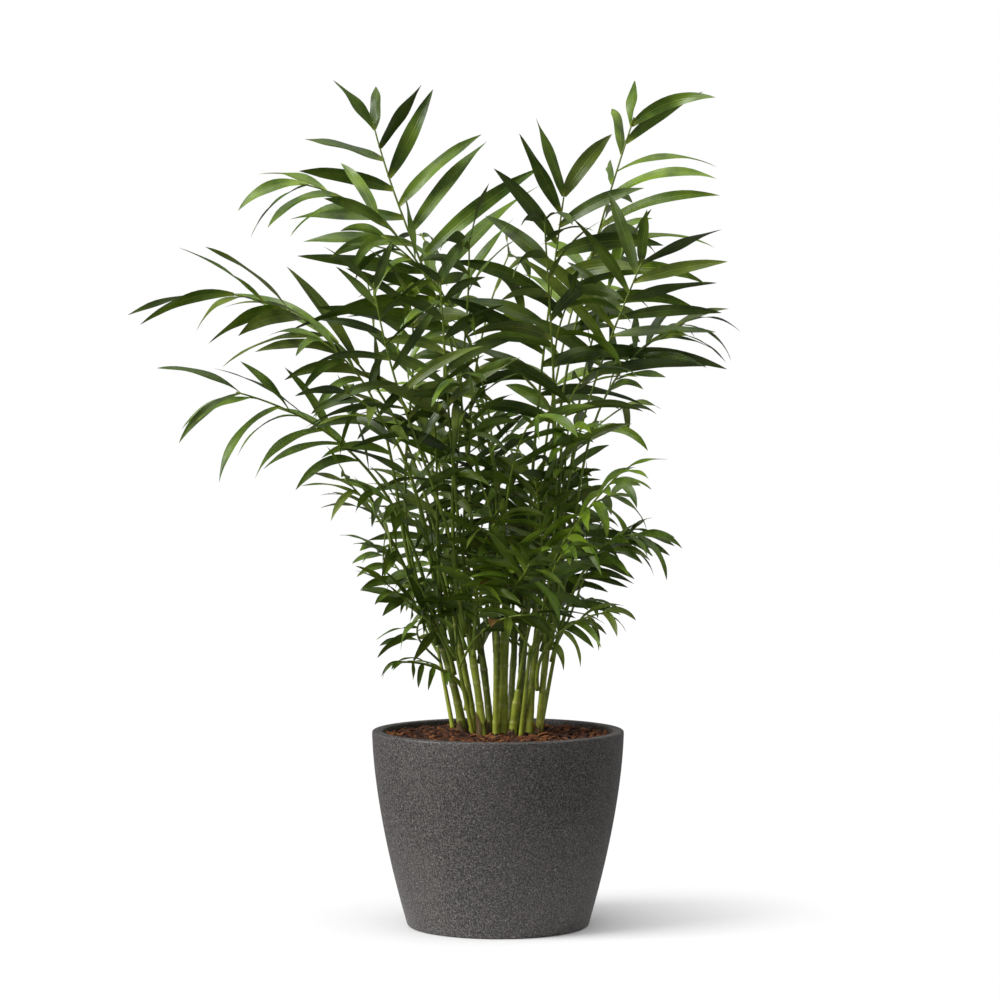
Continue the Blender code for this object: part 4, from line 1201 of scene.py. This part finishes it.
def leaflet_tree():
    """Geometry Nodes that set a lance-shaped blade on each root point and bend it down."""
    tree = new_tree("grow leaflets", "Cup", LEAF_CUP, LEAF_FLOORS)
    web = Web(tree)
    given = web.add("NodeGroupInput")

    counts = {"Size X": 1.0, "Size Y": 1.0, "Vertices X": LEAF_STEPS, "Vertices Y": LEAF_ACROSS}
    blade = web.add("GeometryNodeMeshGrid", counts)
    inputs = {"Geometry": blade.outputs["Mesh"], "Name": "UVMap", "Value": blade.outputs["UV Map"]}
    mapped = web.add("GeometryNodeStoreNamedAttribute", inputs, data_type="FLOAT2", domain="CORNER")
    inputs = {"Points": given.outputs["Geometry"], "Instance": mapped.outputs[0]}
    planted = web.add("GeometryNodeInstanceOnPoints", inputs)
    real = web.add("GeometryNodeRealizeInstances", {0: planted.outputs[0]})

    root, out, fall, hinge = (web.kept(name) for name in ("root", "out", "fall", "hinge"))
    length, width, angle = web.split(web.kept("size"))
    curl, twist, phase = web.split(web.kept("turns"))
    local = web.vector("SUBTRACT", web.add("GeometryNodeInputPosition").outputs[0], root)
    x, y, _ = web.split(local)
    along = web.math("ADD", x, 0.5)
    side = web.math("MULTIPLY", y, 2.0)
    outline = web.add("ShaderNodeFloatCurve")
    curve = outline.mapping.curves[0]
    curve.points[0].location = LEAF_OUTLINE[0]
    curve.points[1].location = LEAF_OUTLINE[-1]
    for point in LEAF_OUTLINE[1:-1]:
        curve.points.new(*point)
    outline.mapping.update()
    web.feed(outline.inputs["Value"], along)
    half = web.math("MULTIPLY", web.math("MULTIPLY", width, 0.5), outline.outputs[0])

    turned_by = web.math("MULTIPLY", angle, along)
    radius = web.math("DIVIDE", length, angle)
    ahead = web.scaled(out, web.math("MULTIPLY", radius, web.math("SINE", turned_by)))
    drop = web.math("SUBTRACT", 1.0, web.math("COSINE", turned_by))
    down = web.scaled(fall, web.math("MULTIPLY", radius, drop))
    sickle = web.math("MULTIPLY", web.math("MULTIPLY", curl, length), web.math("POWER", along, 2.0))
    tangent = web.rotated(out, hinge, turned_by)
    twisted = web.math("MULTIPLY", twist, along)
    across, upper = (
        web.rotated(web.rotated(web.kept(name), hinge, turned_by), tangent, twisted)
        for name in ("across", "upper")
    )
    edge = web.math("ADD", web.math("MULTIPLY", side, half), sickle)
    wave = web.math("SINE", web.math("ADD", web.math("MULTIPLY", along, RIPPLE_WAVES), phase))
    ripple = web.math("MULTIPLY", web.math("MULTIPLY", wave, side), RIPPLE_HEIGHT)
    trough = web.math("MULTIPLY", web.math("ABSOLUTE", side), given.outputs["Cup"])
    rise = web.math("MULTIPLY", web.math("ADD", trough, ripple), half)
    place = web.vector("ADD", root, web.vector("ADD", ahead, down))
    place = web.vector("ADD", place, web.scaled(across, edge))
    place = web.vector("ADD", place, web.scaled(upper, rise))
    shaped = web.add("GeometryNodeSetPosition", {"Geometry": real.outputs[0], "Position": place})
    smooth = web.add("GeometryNodeSetShadeSmooth", {"Geometry": shaped.outputs[0]})
    tone = web.split(web.kept("tone"))[0]
    web.add("NodeGroupOutput", {0: web.painted(smooth.outputs[0], given, tone, LEAF_FLOORS)})
    return tree


def chip_tree():
    """Geometry Nodes that strew bark chips of several browns over the mulch bed."""
    tree = new_tree("strew chips", "Chips per Square Metre", CHIP_DENSITY, BARK_FLOORS)
    web = Web(tree)
    given = web.add("NodeGroupInput")

    def drawn(low, high, seed):
        """A vector drawn anew for each chip."""
        inputs = {"Min": low, "Max": high, "Seed": seed}
        return web.add("FunctionNodeRandomValue", inputs, data_type="FLOAT_VECTOR").outputs[0]

    density = given.outputs["Chips per Square Metre"]
    inputs = {"Mesh": given.outputs["Geometry"], "Density": density, "Seed": CHIP_SEED}
    strewn = web.add("GeometryNodeDistributePointsOnFaces", inputs)
    chip = web.add("GeometryNodeMeshIcoSphere", {"Radius": 1.0, "Subdivisions": 2})
    flat = web.add("GeometryNodeTransform", {"Geometry": chip.outputs[0], "Scale": CHIP_SIZE})
    inputs = {"Points": strewn.outputs["Points"], "Instance": flat.outputs[0],
              "Rotation": drawn(*CHIP_TURNS, 1), "Scale": drawn(*CHIP_SIZES, 2)}
    planted = web.add("GeometryNodeInstanceOnPoints", inputs)
    tint = drawn((0, 0, 0), (1, 1, 1), 3)
    inputs = {"Geometry": planted.outputs[0], "Name": "tint", "Value": tint}
    where = {"data_type": "FLOAT_VECTOR", "domain": "INSTANCE"}
    tinted = web.add("GeometryNodeStoreNamedAttribute", inputs, **where)
    real = web.add("GeometryNodeRealizeInstances", {0: tinted.outputs[0]})

    place = web.add("GeometryNodeInputPosition").outputs[0]
    rough = web.add("ShaderNodeTexNoise", {"Vector": place, "Scale": CHIP_GRAIN}).outputs["Color"]
    shift = web.scaled(web.vector("SUBTRACT", rough, (0.5, 0.5, 0.5)), CHIP_ROUGHNESS * 2)
    shaped = web.add("GeometryNodeSetPosition", {"Geometry": real.outputs[0], "Offset": shift})
    drawn_tint = web.split(web.kept("tint"))[0]
    web.add("NodeGroupOutput", {0: web.painted(shaped.outputs[0], given, drawn_tint, BARK_FLOORS)})
    return tree


def grown(name, mesh, tree, values):
    """The plain mesh that a tree makes of a source mesh, with the tree's inputs set."""
    seedling = bpy.data.objects.new(name + "_source", mesh)
    bpy.context.scene.collection.objects.link(seedling)
    modifier = seedling.modifiers.new("grow", "NODES")
    modifier.node_group = tree
    items = tree.interface.items_tree
    sockets = {item.name: item.identifier for item in items if item.in_out == "INPUT"}
    for key, value in values.items():
        modifier[sockets[key]] = value
    graph = bpy.context.evaluated_depsgraph_get()
    result = bpy.data.meshes.new_from_object(seedling.evaluated_get(graph))
    seedling.modifiers.clear()
    bpy.data.objects.remove(seedling)
    result.name = name
    for leftover in CARRIED:
        if leftover in result.attributes:
            result.attributes.remove(result.attributes[leftover])
    return result


def leaf_points(name, rows):
    """A mesh of root points that carry the attributes of their leaflets."""
    mesh = bpy.data.meshes.new(name)
    mesh.from_pydata([tuple(row["root"]) for row in rows], [], [])
    for key in rows[0]:
        layer = mesh.attributes.new(key, "FLOAT_VECTOR", "POINT")
        layer.data.foreach_set("vector", [number for row in rows for number in row[key]])
    return mesh


def bed_height(x, y):
    """Height of the mulch bed: a low mound with lumps."""
    reach = math.hypot(x, y) / POT_RIM_RADIUS
    lumps = noise.noise(Vector((x, y, 0)) * BED_LUMPS)
    return MULCH_TOP - BED_SINK + BED_MOUND * (1 - reach * reach) + BED_RELIEF * lumps


class PalmSettings(bpy.types.PropertyGroup):
    """What a user would change about the dressed palm."""

    leaflet_density: bpy.props.FloatProperty(
        name="Leaflet density", description="Leaflet pairs of every frond against its own number",
        default=1.0, min=0.5, max=2.0)
    leaflet_width: bpy.props.FloatProperty(
        name="Leaflet width", description="Width of every leaflet against its frond's own",
        default=1.0, min=0.5, max=1.5)
    leaflet_cup: bpy.props.FloatProperty(
        name="Leaflet cup", description="How far a leaflet's edges rise above its middle vein",
        default=LEAF_CUP, min=0.0, max=1.0)
    chip_density: bpy.props.FloatProperty(
        name="Chips per square metre", description="Bark chips strewn on the mulch",
        default=CHIP_DENSITY, min=1000, max=40000)
    pot_colour: bpy.props.FloatVectorProperty(
        name="Pot colour", description="Middle colour of the cast pot",
        default=(0.045, 0.041, 0.039), subtype="COLOR", min=0, max=1)
    cane_colour: bpy.props.FloatVectorProperty(
        name="Cane colour", description="Yellow-green of the canes near their feet",
        default=(0.48, 0.52, 0.055), subtype="COLOR", min=0, max=1)
    key_strength: bpy.props.FloatProperty(
        name="Key light", description="Strength of the soft light from the upper left",
        default=3.3, min=0)


class PALM_OT_pot(bpy.types.Operator):
    """Turns the pot with a soft rim and gives it its cast finish"""

    bl_idname = "palm.pot"
    bl_label = "Pot"

    def execute(self, context):
        r, h = POT_ROUNDING, POT_HEIGHT
        inner_rim = POT_RIM_RADIUS - POT_WALL
        outline = [(0, 0)]
        outline += rounded((POT_FOOT_RADIUS, 0), (POT_FOOT_RADIUS - r, 0), (pot_radius(r), r))
        outline += [(pot_radius(z), z) for z in wall_heights()]
        outline += rounded((POT_RIM_RADIUS, h), (pot_radius(h - r), h - r), (POT_RIM_RADIUS - r, h))
        outline += rounded((inner_rim, h), (inner_rim + r, h), (inner_rim, h - r))
        outline += [*reversed(list(inner_wall())), (0, POT_FLOOR)]
        verts, faces = turned(outline, FINE_POT_SIDES)
        finish = pot_finish(tuple(context.scene.palm.pot_colour))
        link_piece("pot_cast", plain_mesh("pot_cast", verts, faces, finish), ["pot"])
        return {"FINISHED"}


class PALM_OT_mulch(bpy.types.Operator):
    """Makes the mulch bed and strews bark chips over it"""

    bl_idname = "palm.mulch"
    bl_label = "Mulch"

    def execute(self, context):
        radius = POT_RIM_RADIUS - POT_WALL - BED_CLEAR
        verts, faces = [Vector((0, 0, bed_height(0, 0)))], []
        for ring, k in product(range(1, BED_RINGS + 1), range(BED_SIDES)):
            angle = 2 * math.pi * k / BED_SIDES
            x, y = (radius * ring / BED_RINGS * f(angle) for f in (math.cos, math.sin))
            verts.append(Vector((x, y, bed_height(x, y))))
        faces += [[0, 1 + k, 1 + (k + 1) % BED_SIDES] for k in range(BED_SIDES)]
        for ring, k in product(range(BED_RINGS - 1), range(BED_SIDES)):
            a, b = (1 + ring * BED_SIDES + i for i in (k, (k + 1) % BED_SIDES))
            faces.append([a, a + BED_SIDES, b + BED_SIDES, b])
        barks = {name: bark_finish(name, tones) for name, tones in BARK_TONES.items()}
        bed = plain_mesh("mulch_bed", verts, faces, barks["bark dark"])
        source = bed.copy()
        link_piece("mulch_bed", bed, ["mulch"])
        values = {"Chips per Square Metre": context.scene.palm.chip_density, **barks}
        chips = grown("mulch_chips", source, chip_tree(), values)
        link_piece("mulch_chips", chips, ["mulch"])
        return {"FINISHED"}


class PALM_OT_plant(bpy.types.Operator):
    """Grows the canes, the ribs and the leaflets from the table of fronds"""

    bl_idname = "palm.plant"
    bl_label = "Canes and fronds"

    def execute(self, context):
        settings = context.scene.palm
        canes, stems, fronds = grow_limbs()
        foot_colour = tuple(settings.cane_colour)
        greens = [stem_finish(name, tones, foot_colour) for name, tones in STEM_TONES.items()]
        cane, shaded_cane, petiole = greens
        for index, (name, limb) in enumerate(canes.items()):
            radius = ringed_radius(limb, index)
            verts, faces = tube(limb, radius, FINE_CANE_SIDES, FINE_CANE_RINGS)
            # Some canes take the darker copy of the cane finish, which is painted shade.
            mesh = plain_mesh(name, verts, faces, shaded_cane if index in SHADED_CANES else cane)
            mark_rings(mesh, limb, radius)
            link_piece(name + "_ringed", mesh, [name])
        wraps = []
        for index, (name, top, proud) in enumerate(HUSKS):
            wraps.append(husk_mesh(canes[name], top, proud, index))
        link_piece("dry_sheaths", plain_mesh("dry_sheaths", *joined(wraps), husk_finish()))

        tones = {name: leaf_finish(name, tone) for name, tone in LEAF_TONES.items()}
        dry = leaf_finish("leaf dry", DRY_TONE)
        tree = leaflet_tree()
        order = list(tones.values())
        for index, (name, parts) in enumerate(fronds.items()):
            tone = tones[FROND_TONES.get(name, TONE_ORDER[index % len(TONE_ORDER)])]
            other = order[(order.index(tone) + 1) % len(order)]
            tubes = [tube(rib, rib.radius, FINE_RIB_SIDES, FINE_RIB_RINGS) for _, rib in parts]
            if name in stems:
                stem = stems[name]
                tubes.append(tube(stem, stem.radius, FINE_CANE_SIDES, FINE_RIB_RINGS))
            replaced = [] if name.startswith("frond_inner") else [name]
            ribs = plain_mesh(name + "_rib", *joined(tubes), petiole)
            link_piece(name + "_rib", ribs, replaced)
            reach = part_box(name) if replaced else CAD_BOX
            scales = reach, settings.leaflet_density, settings.leaflet_width
            rows = [row for frond, rib in parts for row in fine_leaflets(frond, rib, *scales)]
            values = {"Cup": settings.leaflet_cup, "Main Finish": tone,
                      "Second Finish": other, "Dry Finish": dry}
            leaves = grown(name + "_leaflets", leaf_points(name, rows), tree, values)
            link_piece(name + "_leaflets", leaves, replaced)
        return {"FINISHED"}


def soft_sun(name, place, spread, strength):
    """A very soft distant light that shines from a place towards the plant."""
    lamp = bpy.data.lights.new(name, "SUN")
    lamp.angle = math.radians(spread)
    lamp.energy = strength
    obj = bpy.data.objects.new(name, lamp)
    bpy.context.scene.collection.objects.link(obj)
    obj.location = place
    obj.rotation_euler = Vector(place).to_track_quat("Z", "Y").to_euler()


class PALM_OT_stage(bpy.types.Operator):
    """Sets the pale floor, the soft lights and the camera"""

    bl_idname = "palm.stage"
    bl_label = "Stage"

    def execute(self, context):
        scene = context.scene
        half = FLOOR_SIZE / 2
        corners = [(-half, -half, 0), (half, -half, 0), (half, half, 0), (-half, half, 0)]
        ground = plain_mesh("floor", corners, [[0, 1, 2, 3]], floor_finish())
        floor = bpy.data.objects.new("floor", ground)
        scene.collection.objects.link(floor)
        floor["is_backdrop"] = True
        for name, (place, spread, share) in LIGHTS.items():
            soft_sun(name, place, spread, scene.palm.key_strength * share)
        world = bpy.data.worlds.new("studio")
        world.use_nodes = True
        web = Web(world.node_tree)
        seen = web.add("ShaderNodeLightPath").outputs["Is Camera Ray"]
        background = world.node_tree.nodes["Background"]
        background.inputs["Color"].default_value = (1, 1, 1, 1)
        web.feed(background.inputs["Strength"], web.step(seen, 0, 1, WORLD_FILL, 1.0))
        scene.world = world
        scene.view_settings.view_transform = "Standard"
        camera = bpy.data.objects.new("camera", bpy.data.cameras.new("camera"))
        camera.data.lens = CAMERA_LENS
        camera.location = CAMERA_PLACE
        camera.rotation_euler = (math.radians(90 - CAMERA_TILT), 0, 0)
        scene.collection.objects.link(camera)
        scene.camera = camera
        return {"FINISHED"}


class PALM_PT_panel(bpy.types.Panel):
    """Lists the palm's sizes and the steps that make it"""

    bl_idname = "PALM_PT_panel"
    bl_label = "Parlor palm"
    bl_space_type = "VIEW_3D"
    bl_region_type = "UI"
    bl_category = "Palm"

    def draw(self, context):
        settings = context.scene.palm
        for name in PalmSettings.__annotations__:
            self.layout.prop(settings, name)
        for step in STEPS:
            self.layout.operator(step.bl_idname)


STEPS = (PALM_OT_stage, PALM_OT_pot, PALM_OT_mulch, PALM_OT_plant)
CLASSES = (PalmSettings, *STEPS, PALM_PT_panel)


def register():
    for item in CLASSES:
        bpy.utils.register_class(item)
    bpy.types.Scene.palm = bpy.props.PointerProperty(type=PalmSettings)


def unregister():
    del bpy.types.Scene.palm
    for item in reversed(CLASSES):
        bpy.utils.unregister_class(item)


def main():
    """Dresses the part."""
    register()
    bpy.ops.palm.stage()
    bpy.ops.palm.pot()
    bpy.ops.palm.mulch()
    bpy.ops.palm.plant()
    boxes = {"cad": CAD_BOX, "dressed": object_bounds()}
    plain = {key: [[float(n) for n in corner] for corner in box] for key, box in boxes.items()}


if __name__ == "__main__":
    main()
